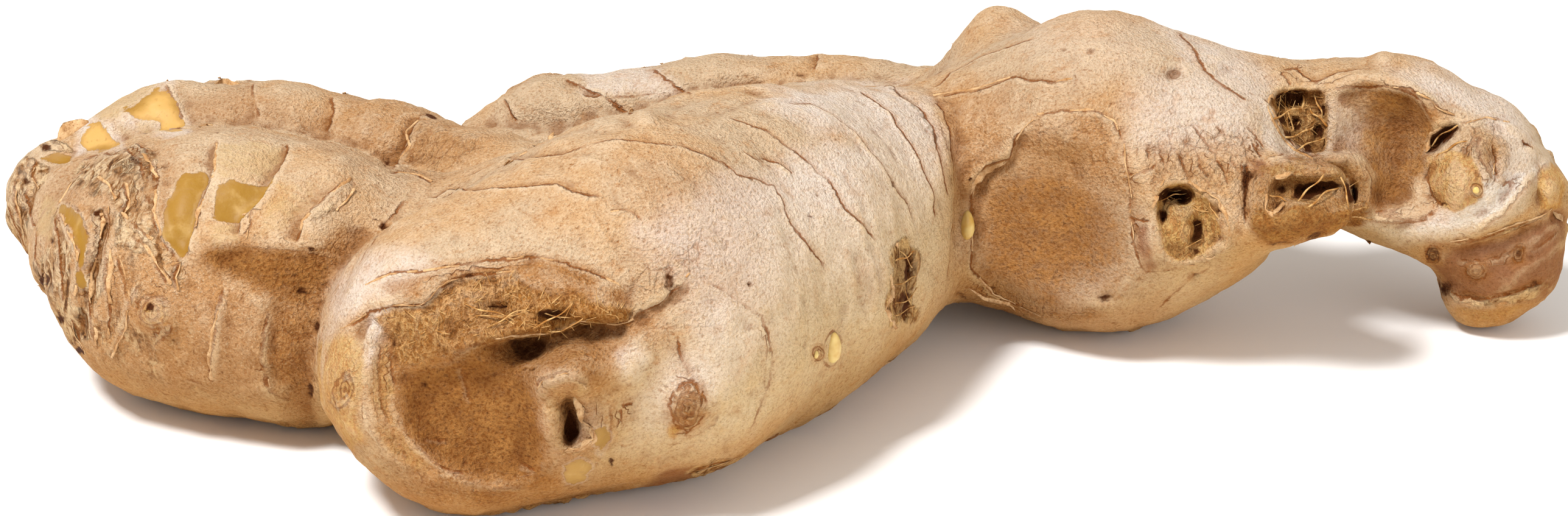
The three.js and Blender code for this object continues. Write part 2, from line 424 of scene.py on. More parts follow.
# %% The bulb, its scars and the stub
BULB_SCAR = [
    1664, 229, 1692, 204, 1733, 186, 1766, 180, 1807, 182, 1831, 200, 1850, 261, 1852, 355, 1862, 400,
    1864, 433, 1838, 465, 1805, 490, 1741, 502, 1668, 490, 1631, 480, 1600, 452, 1594, 408, 1602, 318,
    1631, 282, 1655, 261,
]
BULB_SCAR_EDGE = [
    1700, 198, 1680, 213, 1668, 230, 1660, 262, 1622, 274, 1602, 300, 1596, 340, 1598, 400, 1594, 440,
    1632, 482, 1712, 520,
]
ROOT_PIT = [
    1902, 320, 1912, 304, 1936, 300, 1960, 306, 1985, 322, 2010, 345, 2014, 380, 2006, 404, 1975, 424,
    1935, 432, 1908, 415, 1898, 380, 1897, 345,
]
PIT_HOLES = [
    ([1900, 326, 1912, 308, 1936, 303, 1958, 312, 1960, 330, 1940, 338, 1925, 330, 1912, 338], 4.0),
    ([1898, 345, 1912, 340, 1922, 356, 1914, 372, 1902, 364], 3.0),
    ([1960, 362, 1974, 360, 1978, 385, 1970, 404, 1958, 396], 3.4),
    ([1996, 336, 2010, 338, 2012, 352, 1998, 356], 2.4),
    ([1994, 384, 2010, 386, 2008, 400, 1996, 400], 2.6),
    ([1958, 408, 1972, 408, 1972, 420, 1960, 420], 2.2),
]
PIT_RIDGES = [
    [1902, 228, 1906, 250, 1912, 272], [1930, 248, 1942, 272, 1956, 300], [1944, 226, 1948, 246],
    [1966, 252, 1972, 276, 1990, 296], [1998, 262, 2012, 284, 2020, 306], [1992, 208, 2014, 230],
    [2028, 222, 2050, 256], [2044, 206, 2076, 246], [1958, 206, 1984, 240, 1996, 256],
    [2022, 262, 2040, 290], [2056, 236, 2072, 262], [1880, 238, 1888, 262],
]
STUB_TOP = [2075, 268, 2100, 262, 2215, 262, 2240, 290, 2244, 340, 2232, 362]
STUB_MOUTH = [
    2086, 296, 2120, 288, 2212, 286, 2236, 298, 2236, 335, 2205, 345, 2110, 328, 2090, 350, 2084, 330,
]
STUB_HOLES = [
    ([2099, 306, 2109, 304, 2111, 314, 2101, 317], 2.4),
    ([2090, 340, 2098, 330, 2110, 334, 2108, 348, 2096, 354], 2.6),
    ([2126, 322, 2134, 306, 2158, 298, 2186, 296, 2204, 304, 2190, 314, 2168, 318, 2150, 326], 2.6),
    ([2206, 300, 2224, 298, 2234, 310, 2230, 332, 2214, 338, 2208, 320], 2.2),
]
carve(carving.overhang, [(pairs(BULB_SCAR_EDGE)[::-1], 0.8, 80)])
carve(carving.hollow, [
    (BULB_SCAR, 1.0, 90), (ROOT_PIT, 1.3), (STUB_MOUTH, 2.6, 12, 4),
    ([2148, 378, 2188, 366, 2196, 380, 2160, 398], 1.2, 10, 3),
])
carve(carving.ridge, [
    ([1588, 325, 1596, 298, 1622, 268, 1654, 252, 1670, 216, 1698, 192], 0.9, 9),
    ([1868, 250, 1882, 300, 1884, 345], 0.7, 14), ([1884, 375, 1890, 410, 1888, 440], 0.7, 12),
    (ROOT_PIT + ROOT_PIT[:2], 0.9, 10, 0.001), ([1925, 345, 1945, 355, 1960, 348], 1.2, 6),
    ([2046, 275, 2048, 300, 2044, 340, 2050, 368], -2.4, 7), (STUB_TOP, 1.6, 9, 0.08),
    ([2080, 392, 2062, 360, 2062, 320, 2074, 286], 0.9, 8), ([1905, 512, 1932, 484, 1972, 449], -0.6, 6),
])
carve(carving.mound, [
    ((1765, 226), (70, 36), 0.9, 10), ((1940, 385), (24, 30), 0.9), ((1927, 122), (14, 9), -1.0),
    ((2130, 362), (46, 16), 1.2), ((2214, 262), (16, 9), 1.0),
])
for outline, depth in PIT_HOLES:
    carving.hollow(outline, depth, edge=7, outer=3)
for path in PIT_RIDGES:
    carving.ridge(path, -0.35, 6, taper=0.3)
for outline, depth in STUB_HOLES:
    carving.hollow(outline, depth, edge=6, outer=3)

# %% The valley and the bowl of the hooked finger
VALLEY = [2084, 166, 2110, 150, 2178, 150, 2184, 200, 2180, 245, 2160, 254, 2126, 240, 2104, 216]
VALLEY_HOLES = [
    ([2096, 156, 2140, 152, 2142, 168, 2100, 176], 2.6),
    ([2092, 184, 2112, 186, 2114, 204, 2098, 204], 2.0),
    ([2116, 192, 2140, 196, 2136, 214, 2118, 210], 2.8),
    ([2106, 214, 2120, 220, 2120, 236, 2108, 230], 2.4),
    ([2136, 236, 2152, 234, 2156, 250, 2142, 250], 2.4),
    ([2156, 204, 2176, 204, 2172, 222, 2160, 222], 2.2),
    ([2160, 170, 2178, 172, 2178, 190, 2164, 188], 2.0),
]
BOWL = [
    2184, 160, 2198, 148, 2250, 136, 2322, 156, 2345, 180, 2355, 204, 2340, 280, 2330, 300, 2328, 330,
    2300, 342, 2262, 345, 2250, 330, 2250, 290, 2236, 262, 2180, 250,
]
HOOK_PIT = [2344, 250, 2354, 222, 2376, 206, 2402, 202, 2400, 214, 2380, 232, 2360, 248]
carve(carving.overhang, [([2356, 398, 2392, 398, 2472, 381, 2545, 350], 1.3, 40, 4)])
carve(carving.hollow, [(VALLEY, 3.0, 14, 5), (BOWL, 2.4, 60, 4), (BOWL, 1.1, 12, 3), (HOOK_PIT, 3.6, 8, 4)])
carve(carving.ridge, [
    ([2188, 142, 2240, 122, 2300, 130, 2350, 160, 2385, 192], 1.3, 9),
    ([2250, 354, 2290, 356, 2345, 346, 2380, 334], 1.0, 8),
    ([2352, 262, 2346, 290, 2356, 322, 2376, 342], -1.4, 7), ([2404, 236, 2410, 262, 2404, 272], -1.4, 6),
    ([2430, 222, 2432, 262, 2446, 290, 2460, 300], 1.2, 7), ([2448, 236, 2456, 262, 2454, 292], -1.6, 6),
    ([2470, 230, 2462, 300, 2440, 350], 0.8, 12), ([2546, 262, 2512, 300, 2470, 352, 2420, 384], 1.0, 12),
    ([2470, 200, 2505, 225, 2535, 262], 1.0, 11), ([2400, 205, 2440, 190, 2490, 186], 0.7, 9),
    ([2530, 262, 2522, 300, 2532, 345], -1.2, 8),
    ([2362, 470, 2398, 488, 2440, 496, 2495, 490, 2538, 466], -0.35, 6),
    ([2375, 488, 2400, 500, 2440, 506, 2500, 496], 0.5, 6),
])
carve(carving.mound, [
    ((2390, 296), (30, 38), 2.6), ((2425, 312), (10, 10), 0.9), ((2277, 93), (24, 12), 1.3),
    ((2552, 306), (20, 30), 2.2), ((2560, 356), (14, 9), -2.2),
])
for outline, depth in VALLEY_HOLES:
    carving.hollow(outline, depth, edge=6, outer=3)

# %% The ragged hole in the front finger
SIDE_HOLES = [
    ([1480, 420, 1492, 416, 1494, 450, 1484, 460], 2.0),
    ([1476, 482, 1492, 478, 1490, 515, 1474, 525], 2.0),
]
carve(carving.hollow, [
    ([1478, 404, 1494, 398, 1504, 420, 1498, 450, 1506, 480, 1500, 520, 1476, 538, 1460, 510, 1472, 474,
        1466, 440], 1.6, 12, 4),
])
for outline, depth in SIDE_HOLES:
    carving.hollow(outline, depth, edge=6, outer=3)
carving.apply()
print("deepest carving", round(float(carving.sink.max()), 1), "mm")

# %% [markdown]
# ## Fingers and their growth lines
# Rings run round a finger, and fibres run along it. For both, each point has to know which finger it is
# on, how far along that finger's middle it lies, and how far round. The middles are the same chains that
# the solid was built on.

# %% Growth coordinates
FINGERS = {
    "front": [(-40, -39, 16, 15), (-32.3, -33.5, 16, 16.5), (-15.4, -25.8, 18.7, 19.4),
        (3.6, -1.3, 16, 16.6), (9, 3, 16, 13)],
    "left_front": [(-85, 3, 12, 6), (-77, 0, 12.4, 8), (-67, -7.8, 14.6, 15), (-51.4, -13.3, 14.8, 15.2),
        (-29.4, -14.3, 19.4, 9.8)],
    "left_back": [(-90, 12, 12, 6), (-82.3, 13.5, 12.2, 7.9), (-70.4, 17.7, 12.2, 12.6),
        (-47, 14.2, 13.4, 10.8), (-20, -5, 16.4, 10)],
    "back": [(-40, 35, 7.5, 6), (-28, 36.7, 8.7, 9.3), (-8, 36.7, 9.8, 10.5), (8, 35.7, 10.2, 10.6),
        (34, 14.7, 16.4, 11)],
    "hump": [(-7, 17, 16.4, 8.2), (0, 3, 15.4, 9)],
    "bulb": [(16, 6, 16.4, 12), (28, 12.7, 16, 14.4), (36.6, 10.2, 17.7, 18.4), (45.6, 7, 19.2, 13.6),
        (52, 10, 22, 9)],
    "horn": [(30, 20.7, 19.4, 9), (25.6, 27.7, 26.4, 4.4), (25, 28.7, 30, 2)],
    "hook": [(52, 11, 23.8, 8), (62, 11.7, 21.6, 9), (77, 8.7, 17.7, 10), (82, 7.3, 9, 7),
        (80.4, 7.2, 2, 5)],
    "stub": [(48, -2.5, 19, 6), (55.9, -7.3, 21.8, 4.4), (63, -9.5, 24, 4)],
}


def growth(points):
    """The number of each point's finger, the millimetres along and round it, and the finger's direction."""
    best = np.full(len(points), np.inf)
    finger = np.zeros(len(points), int)
    along = np.zeros(len(points))
    around = np.zeros(len(points))
    direction = np.zeros((len(points), 3))
    for number, stations in enumerate(FINGERS.values()):
        stations = np.array(stations, float)
        travelled = 0
        for here, after in zip(stations[:-1], stations[1:]):
            start, r0, r1 = here[:3], here[3], after[3]
            leg = after[:3] - start
            length = np.linalg.norm(leg)
            part = np.clip(((points - start) @ leg) / length**2, 0, 1)
            offset = points - start - part[:, None] * leg
            out = np.linalg.norm(offset, axis=1)
            radius = r0 + part * (r1 - r0)
            closer = out - radius < best
            best[closer] = (out - radius)[closer]
            finger[closer] = number
            reach = ((points - start) @ leg) / length
            along[closer] = (travelled + np.clip(reach, -r0, length + r1))[closer]
            sideways = np.cross(leg / length, [0, 0, 1])
            above = np.cross(sideways, leg / length)
            around[closer] = (np.arctan2(offset @ sideways, offset @ above) * radius)[closer]
            direction[closer] = leg / length
            travelled += length
    return finger, along, around, direction


SKIN_VOXEL, SKIN_ROUNDS = 0.5, 1
skin = Skin(remeshed(clay.mesh, SKIN_VOXEL, SKIN_ROUNDS))
finger, along, around, direction = growth(skin.points)
print("skin has", len(skin.points), "points in", len(skin.mesh.polygons), "quads")

# %% [markdown]
# ## Patches of the skin
# The skin isn't one finish. Old scars are orange-brown and fibrous, tips are dark and scaly like bark,
# some skin is clean and pale, and where the skin has rubbed off the flesh shows yellow. Each finish has
# its own share at every point, from 0 to 1, which the carving and the colours both use. Hidden sides get
# patches of the same kinds. A few patches are painted light and shade: scar brown over the shaded dent,
# the left finger's shaded side and the roll's underside, warm tan over the first two, and pale at two
# bright highlights.


# %% Where each finish lies
TORN_ROLL = [
    606, 518, 645, 506, 692, 500, 712, 478, 742, 460, 775, 452, 850, 447, 858, 470, 900, 488, 1040, 506,
    1030, 530, 950, 526, 905, 545, 800, 556, 740, 590, 690, 600, 650, 600, 640, 560,
]
LEFT_WALL = [
    606, 545, 640, 520, 652, 560, 652, 640, 658, 700, 700, 750, 740, 780, 700, 792, 650, 757, 612, 704,
    603, 620,
]
END_RIM = [
    640, 755, 700, 762, 760, 787, 840, 803, 905, 795, 985, 770, 965, 812, 850, 838, 760, 828, 680, 797,
]
PIT_COLLAR = [
    885, 640, 905, 615, 940, 610, 968, 628, 985, 700, 978, 740, 1000, 745, 965, 795, 925, 795, 905, 745,
]
BULGE_SPLITS = [1060, 545, 1110, 490, 1150, 430, 1180, 400, 1190, 440, 1150, 480, 1120, 560, 1075, 590]
SCAR_CROWN = [
    1664, 240, 1700, 196, 1760, 178, 1810, 182, 1840, 212, 1852, 262, 1852, 320, 1740, 272, 1690, 262,
]
ROOT_PIT_SURROUND = [
    1856, 245, 1900, 225, 1960, 208, 2040, 205, 2076, 246, 2050, 370, 1990, 436, 1905, 436, 1892, 400,
    1880, 300,
]
STUB = [
    2056, 300, 2070, 270, 2100, 260, 2235, 262, 2250, 295, 2250, 345, 2235, 365, 2150, 398, 2080, 400,
    2052, 370,
]
STUB_CUP = [
    2062, 330, 2092, 350, 2150, 336, 2205, 346, 2244, 340, 2232, 366, 2150, 392, 2090, 400, 2058, 376,
]
STUMP = [2350, 262, 2380, 250, 2420, 258, 2432, 290, 2420, 330, 2392, 344, 2362, 336, 2350, 300]
HOOK_RIDGES = [2400, 205, 2450, 205, 2476, 240, 2470, 300, 2440, 290, 2420, 250, 2390, 240]
LEFT_TORN = [
    500, 405, 545, 400, 560, 380, 590, 400, 562, 440, 530, 560, 515, 640, 450, 650, 432, 590, 445, 530,
    495, 450,
]
FLAKY = [1040, 440, 1100, 420, 1150, 380, 1175, 400, 1150, 450, 1110, 480, 1060, 500, 1020, 480]
BULB_FOOT = [
    1590, 450, 1640, 482, 1740, 506, 1810, 494, 1880, 440, 1900, 450, 1840, 500, 1760, 530, 1660, 520,
    1600, 490,
]
SHOULDER_PATCH = [652, 215, 690, 195, 810, 228, 790, 250, 720, 290, 665, 292, 635, 270]
TORN = [
    (TORN_ROLL, 0.9, 10), (LEFT_WALL, 0.35, 14), (END_RIM, 0.35, 14), (PIT_COLLAR, 0.25, 10),
    (BULGE_SPLITS, 0.3, 20), (SCAR_CROWN, 0.3, 24), (ROOT_PIT_SURROUND, 0.42, 30), (ROOT_PIT, 0.6, 10),
    (STUB, 0.5, 8), (VALLEY, 0.9, 8), (STUMP, 0.3, 12), (HOOK_RIDGES, 0.5, 14), (LEFT_TORN, 0.35, 26),
    (FLAKY, 0.35, 20), (BULB_FOOT, 0.4, 20), (SHOULDER_PATCH, 0.4, 20),
]
FRONT_BULGE = [
    905, 560, 950, 540, 1060, 524, 1090, 505, 1100, 520, 1070, 550, 1040, 560, 990, 650, 940, 610, 905, 615,
    885, 640,
]
FRONT_END = [
    640, 530, 690, 505, 960, 505, 1030, 530, 1010, 590, 985, 640, 985, 700, 965, 770, 900, 815, 800, 835,
    700, 815, 650, 770, 622, 700, 618, 600,
]
SCAR_OF_BULB = [
    1600, 340, 1606, 300, 1640, 268, 1690, 256, 1750, 262, 1800, 284, 1840, 320, 1850, 380, 1846, 440,
    1812, 478, 1741, 498, 1668, 490, 1631, 480, 1602, 450, 1598, 400,
]
DENT = [334, 424, 345, 410, 400, 404, 500, 412, 560, 428, 540, 470, 500, 505, 440, 488, 380, 462, 342, 442]
LEFT_SHADE = [
    440, 500, 500, 480, 545, 430, 590, 400, 560, 450, 528, 560, 520, 660, 500, 690, 452, 640, 438, 580,
    446, 530,
]
ROLL_UNDERSIDE = [840, 466, 1040, 508, 1032, 532, 950, 526, 905, 545, 850, 549, 820, 520]
ROOT_CIRCLE = [
    1096, 650, 1122, 616, 1150, 622, 1166, 650, 1166, 684, 1150, 710, 1122, 720, 1094, 700, 1080, 674,
]
SCAR_SKIRT = [
    1670, 240, 1720, 200, 1800, 200, 1850, 270, 1870, 350, 1872, 440, 1834, 490, 1760, 514, 1680, 508,
    1622, 490, 1596, 452, 1610, 320,
]
ROLL_CAP = [700, 448, 870, 424, 960, 446, 1028, 480, 1040, 500, 960, 490, 860, 462, 780, 450]
# Over DENT and ROLL_UNDERSIDE the scar share is partly scar and partly painted shade, and over LEFT_SHADE it
# is painted shade.
SCARRED_AND_SHADED = [
    (SCAR_FLOOR, 0.85, 30), (TORN_ROLL, 0.35, 12), (FRONT_END, 0.55, 40), (SCAR_OF_BULB, 0.75, 60),
    (SCAR_SKIRT, 0.5, 30), (BOWL, 0.72, 18), (FRONT_BULGE, 0.25, 30), (DENT, 0.85, 30),
    (LEFT_SHADE, 0.45, 50), (VALLEY, 0.6, 10), (STUB, 0.4, 10), (STUB_CUP, 1.0, 10), (BULB_FOOT, 0.45, 30),
    (ROLL_UNDERSIDE, 1.0, 16), (ROOT_CIRCLE, 0.55, 30), (ROLL_CAP, 0.3, 18),
]
BARKED = [
    ([120, 440, 200, 410, 300, 440, 340, 480, 330, 560, 240, 640, 150, 600, 100, 520], 0.36, 40),
    ([120, 560, 200, 600, 440, 640, 440, 660, 300, 650, 180, 620], 0.3, 20),
    ([4, 340, 20, 290, 38, 262, 60, 262, 84, 275, 88, 295, 66, 320, 52, 350, 48, 400, 52, 424, 30, 404,
        10, 366], 0.85, 10),
    ([66, 240, 84, 230, 112, 236, 122, 250, 72, 252], 0.85, 8),
    ([105, 300, 130, 268, 200, 240, 248, 228, 262, 250, 258, 350, 270, 395, 298, 432, 294, 478, 280, 470,
        262, 440, 235, 410, 196, 400, 186, 345, 165, 325, 135, 320], 0.55, 12),
    ([150, 345, 172, 342, 174, 400, 168, 450, 150, 520, 148, 560, 118, 562, 94, 520, 98, 500, 138, 500,
        136, 470, 144, 430, 156, 400], 0.85, 10),
    ([80, 345, 104, 360, 120, 400, 122, 470, 112, 510, 88, 500, 70, 470, 60, 430, 82, 400], 0.6, 10),
    ([553, 298, 582, 296, 574, 325, 552, 352, 510, 372, 496, 366, 502, 345, 530, 325], 0.45, 10),
    ([1130, 780, 1150, 766, 1232, 742, 1236, 752, 1200, 774, 1150, 790], 0.7, 10),
    ([1462, 400, 1490, 396, 1510, 420, 1500, 470, 1500, 522, 1462, 544, 1452, 500, 1468, 450], 0.8, 12),
    ([2358, 462, 2398, 484, 2440, 490, 2500, 480, 2540, 458, 2540, 470, 2495, 494, 2436, 502, 2395, 496,
        2362, 478], 0.6, 8),
    ([1700, 190, 1672, 206, 1654, 258, 1616, 268, 1592, 300, 1588, 296, 1612, 262, 1645, 244,
        1664, 205], 0.6, 8),
]
BOWL_WALL = [2182, 170, 2200, 158, 2236, 164, 2248, 200, 2240, 236, 2210, 250, 2182, 240]
PALED_AND_HIGHLIT = [
    ([1060, 380, 1180, 300, 1250, 290, 1330, 250, 1500, 200, 1555, 250, 1560, 400, 1545, 480, 1440, 560,
        1300, 650, 1200, 730, 1080, 760, 1020, 740, 1060, 640, 1150, 560, 1130, 480], 1.0, 40),
    ([1250, 160, 1400, 135, 1520, 160, 1556, 240, 1480, 260, 1330, 210], 1.0, 24),
    ([960, 110, 1060, 100, 1100, 130, 1110, 150, 1010, 158, 960, 145], 0.8, 12),
    ([1640, 40, 1760, 20, 1900, 30, 1960, 90, 1860, 130, 1740, 120], 0.2, 45),
    ([1860, 140, 1990, 100, 2060, 150, 2060, 240, 1960, 250, 1860, 240], 0.7, 45),
    ([1900, 30, 2010, 70, 2070, 120, 2085, 165, 2040, 170, 1970, 120], 0.9, 45),
    ([1680, 500, 1900, 450, 1990, 440, 1960, 500, 1850, 560, 1700, 560], 0.5, 45),
    ([2240, 366, 2300, 366, 2380, 350, 2410, 300, 2460, 280, 2540, 262, 2512, 310, 2460, 370, 2400, 386,
        2300, 396], 1.2, 20),
    ([2280, 110, 2380, 120, 2480, 160, 2560, 230, 2550, 262, 2470, 300, 2480, 230, 2420, 190,
        2340, 150], 0.9, 25),
    # The next row is a painted highlight: the bright corner at the top of the front end's left rim.
    ([605, 505, 642, 500, 640, 540, 622, 580, 604, 600, 600, 560], 1.2, 10), (BOWL_WALL, 0.7, 30),
    (PIT_COLLAR, 0.4, 16), ([195, 200, 280, 140, 305, 215, 260, 220], 1.0, 14),
    ([130, 196, 185, 200, 200, 240, 130, 255], 1.2, 12),
    # Painted highlight: a bright spot on the round boss right of the front scar.
    ([1010, 580, 1040, 566, 1066, 590, 1050, 620, 1020, 620], 1.0, 16),
    ([2070, 160, 2092, 185, 2110, 225, 2180, 262, 2110, 256, 2078, 235], 1.0, 12),
    ([540, 470, 600, 420, 700, 420, 720, 440, 620, 500, 550, 530, 530, 560], 0.8, 25),
]
HOOK_LOW = [2350, 400, 2430, 392, 2500, 372, 2576, 336, 2576, 470, 2540, 545, 2400, 545, 2370, 480]
ORANGE_END = [530, 560, 556, 540, 590, 548, 600, 600, 598, 680, 606, 730, 570, 730, 540, 700, 526, 630]
LEFT_TIP = [60, 300, 130, 260, 250, 230, 300, 300, 300, 440, 200, 520, 100, 540, 50, 420]
# Over DENT this warm tan is partly torn tissue and partly painted shade, and over LEFT_SHADE it is painted
# shade.
WARMED = [
    ([90, 380, 240, 430, 340, 420, 440, 500, 450, 660, 300, 650, 160, 600, 90, 500], 0.8, 45),
    ([300, 150, 420, 150, 540, 180, 560, 250, 460, 215, 310, 205], 0.6, 25),
    ([1560, 140, 1660, 140, 1660, 230, 1600, 300, 1580, 340, 1562, 300], 0.7, 45),
    ([1640, 130, 1900, 130, 1900, 190, 1700, 180, 1640, 200], 0.35, 45),
    ([560, 120, 700, 170, 830, 230, 700, 300, 600, 280, 520, 200], 0.6, 45),
    ([660, 750, 900, 790, 1100, 770, 1100, 847, 600, 847], 0.7, 45),
    ([1580, 440, 1700, 500, 1900, 500, 1900, 560, 1600, 560, 1540, 480], 0.8, 45),
    ([526, 540, 560, 520, 600, 560, 606, 740, 560, 740, 526, 640], 0.5, 25), (SCAR_CROWN, 0.8, 26),
    (STUB, 0.9, 10),
    ([600, 470, 700, 448, 870, 424, 960, 446, 1028, 480, 1040, 500, 960, 490, 860, 462, 780, 450,
        690, 496], 1.2, 14),
    (DENT, 1.1, 24), (LEFT_TORN, 1.1, 30), (LEFT_SHADE, 1.0, 50), (HOOK_LOW, 0.3, 14), (LEFT_WALL, 0.5, 20),
    (PIT_COLLAR, 0.2, 16), (END_RIM, 0.6, 20), (FRONT_END, 1.0, 40), (FRONT_BULGE, 0.9, 30),
    (BOWL_WALL, 0.35, 14), (ORANGE_END, 0.4, 14), (LEFT_TIP, 0.6, 40),
    ([1040, 260, 1150, 270, 1240, 310, 1250, 480, 1150, 520, 1060, 440], 0.5, 50),
]
PINKED = [
    ([2350, 400, 2430, 392, 2500, 372, 2576, 336, 2576, 470, 2440, 500, 2370, 480], 0.85, 20),
    ([1862, 364, 1894, 366, 1902, 440, 1882, 445, 1868, 410], 0.8, 10),
    ([1060, 800, 1090, 780, 1140, 765, 1150, 790, 1090, 810], 0.8, 16),
    ([1391, 420, 1456, 430, 1450, 500, 1400, 500], 0.35, 30),
    ([2052, 262, 2084, 262, 2090, 290, 2066, 300], 0.8, 10),
    ([2096, 256, 2230, 258, 2226, 272, 2100, 278], 0.6, 8),
]
STRAWED = [
    (ORANGE_END, 0.7, 14), (BOWL, 0.3, 24), (PIT_COLLAR, 0.3, 14), (LEFT_WALL, 0.5, 16),
    ([606, 518, 645, 506, 700, 500, 740, 520, 700, 600, 650, 600], 0.4, 16), (STUB_CUP, 0.35, 8),
    (STUB, 0.4, 10), (ROOT_PIT, 1.0, 10), (VALLEY, 0.5, 10), (STUMP, 1.0, 8),
    ([2390, 500, 2440, 508, 2500, 500, 2480, 530, 2440, 545, 2400, 530], 0.5, 10),
    ([2528, 275, 2560, 275, 2576, 300, 2566, 340, 2530, 345, 2520, 310], 1.0, 8),
    ([2416, 300, 2434, 300, 2434, 322, 2416, 322], 0.9, 6),
    ([540, 600, 575, 590, 590, 640, 580, 690, 556, 690, 538, 650], 0.3, 14),
    ([556, 690, 600, 690, 606, 735, 570, 725], 0.6, 14),
    ([538, 560, 575, 550, 590, 575, 540, 600], 0.6, 14),
    ([1095, 690, 1120, 700, 1110, 722, 1098, 715], 0.8, 8),
    ([455, 300, 500, 300, 470, 345, 440, 350], 0.5, 12), ([232, 500, 270, 500, 276, 530, 240, 532], 0.8, 8),
]
BARE_FLESH = [
    [304, 288, 333, 288, 336, 303, 300, 428, 288, 415, 277, 392, 272, 365, 274, 340],
    [362, 305, 385, 300, 404, 308, 430, 304, 446, 296, 424, 336, 404, 348, 395, 366, 352, 358, 351, 345],
    [98, 338, 125, 344, 140, 368, 144, 398, 140, 430, 131, 442, 129, 410, 121, 380],
    [122, 448, 136, 446, 138, 474, 126, 476],
    [204, 182, 256, 148, 275, 148, 286, 165, 299, 210, 264, 212, 262, 200, 248, 194, 222, 198],
    [150, 204, 166, 205, 182, 225, 195, 236, 142, 250, 134, 236, 140, 218],
    [66, 262, 98, 250, 118, 258, 112, 270, 84, 270], [976, 706, 996, 700, 1002, 720, 990, 740, 976, 734],
    [928, 762, 950, 752, 966, 766, 956, 788, 932, 788],
]
CREAMY_FILM = [
    ([362, 240, 467, 232, 468, 255, 446, 290, 404, 302, 379, 296, 358, 300, 353, 268], 0.8, 9),
    ([500, 290, 545, 285, 500, 350, 430, 390, 440, 340], 0.5, 9),
    ([222, 198, 250, 194, 263, 200, 262, 214, 240, 220, 226, 216], 0.9, 9),
    ([150, 185, 200, 155, 256, 140, 250, 155, 205, 182, 200, 196, 165, 203], 0.8, 9),
    ([60, 350, 80, 320, 96, 335, 92, 380, 80, 400, 62, 385], 0.9, 8),
    ([345, 365, 388, 366, 390, 395, 350, 396], 0.7, 9),
    ([565, 540, 598, 556, 598, 640, 592, 700, 580, 650], 0.7, 8),
]


def shares(outlines):
    """The largest share of a finish at each seen point, from outlines with a strength and an edge width."""
    found = np.zeros(len(skin.points))
    who = np.flatnonzero(skin.seen)
    spots = skin.picture[who]
    jitter = 1.3 * rough(skin.points[who], 3.0, 11)
    for outline, strength, edge in outlines:
        share = strength * smoothstep(-edge, edge, inside_distance(spots, outline) + min(edge, 14) * jitter)
        found[who] = np.maximum(found[who], share)
    return found


HIDDEN_SCARS = [
    ((-20, 14, 30), 8, 0.8), ((-58, 30, 20), 7, 0.7), ((10, 47, 12), 7, 0.9), ((44, 30, 22), 9, 0.9),
    ((84, 16, 14), 6, 0.7), ((-15, -20, 0), 12, 0.5), ((-41, 36, 9), 6, 0.9), ((60, 14, 10), 7, 0.6),
]
HIDDEN_TORN = [
    ((-20, 14, 30), 5, 0.7), ((44, 30, 22), 5, 0.8), ((10, 47, 12), 4, 0.8), ((-15, -20, 0), 8, 0.5),
]
HIDDEN_BARK = [
    ((-88, 12, 8), 8, 0.9), ((-43, 34, 6), 5, 0.9), ((26, 30, 28), 5, 0.5), ((-60, 28, 8), 6, 0.5),
    ((20, 40, 5), 7, 0.5), ((40, 10, 0), 8, 0.5),
]
HIDDEN_FLESH = [
    ((-72, 29, 16), 5), ((-5, 47, 12), 4.5), ((50, 22, 30), 3.5), ((22, 20, 24), 4), ((-35, 26, 20), 4),
]


def round_shares(balls, edge):
    """The share of a finish at each unseen point, from balls with a centre, a radius and a strength."""
    found = np.zeros(len(skin.points))
    jitter = edge * 1.5 * rough(skin.points, 4.0, 12) + 2.0 * rough(skin.points, 9.0, 15)
    for centre, radius, strength in balls:
        inside = radius - np.linalg.norm(skin.points - centre, axis=1)
        found = np.maximum(found, strength * smoothstep(-edge, edge, inside + jitter))
    return np.where(skin.seen, 0, found)


DRIFT_SIZE = 25


def unseen_drift(seed):
    """A wide, faint drift of a finish over the unseen sides."""
    return 0.5 * (1 - skin.seen) * smoothstep(-0.1, 0.3, lumps(skin.points, DRIFT_SIZE, seed))


# %% Work out the shares
PIXELS_PER_MM = 15.2
# The scar and warm shares also hold painted shade over the dent, the left finger's shaded side and the
# roll's underside.
scar_and_shade = np.maximum(shares(SCARRED_AND_SHADED), round_shares(HIDDEN_SCARS, 1.2))
torn = np.maximum(shares(TORN), round_shares(HIDDEN_TORN, 1.2))
bark = np.maximum(shares(BARKED), round_shares(HIDDEN_BARK, 1.2))
pale_and_highlit = np.maximum(shares(PALED_AND_HIGHLIT), unseen_drift(16))
warm = np.maximum(shares(WARMED), unseen_drift(17))
film = shares(CREAMY_FILM)
pink = shares(PINKED)
straw = shares(STRAWED)
LESS_TORN = [(SCAR_FLOOR, 1.0, 8), (STUB_CUP, 0.7, 8), (BOWL, 1.0, 4)]
LESS_SCARRED = [(BOWL_WALL, 1.0, 34), (SCAR_CROWN, 0.85, 30), (LEFT_WALL, 0.7, 14), (PIT_COLLAR, 1.0, 12)]
torn *= 1 - 0.8 * shares(LESS_TORN)
scar_and_shade *= 1 - 0.85 * shares(LESS_SCARRED)

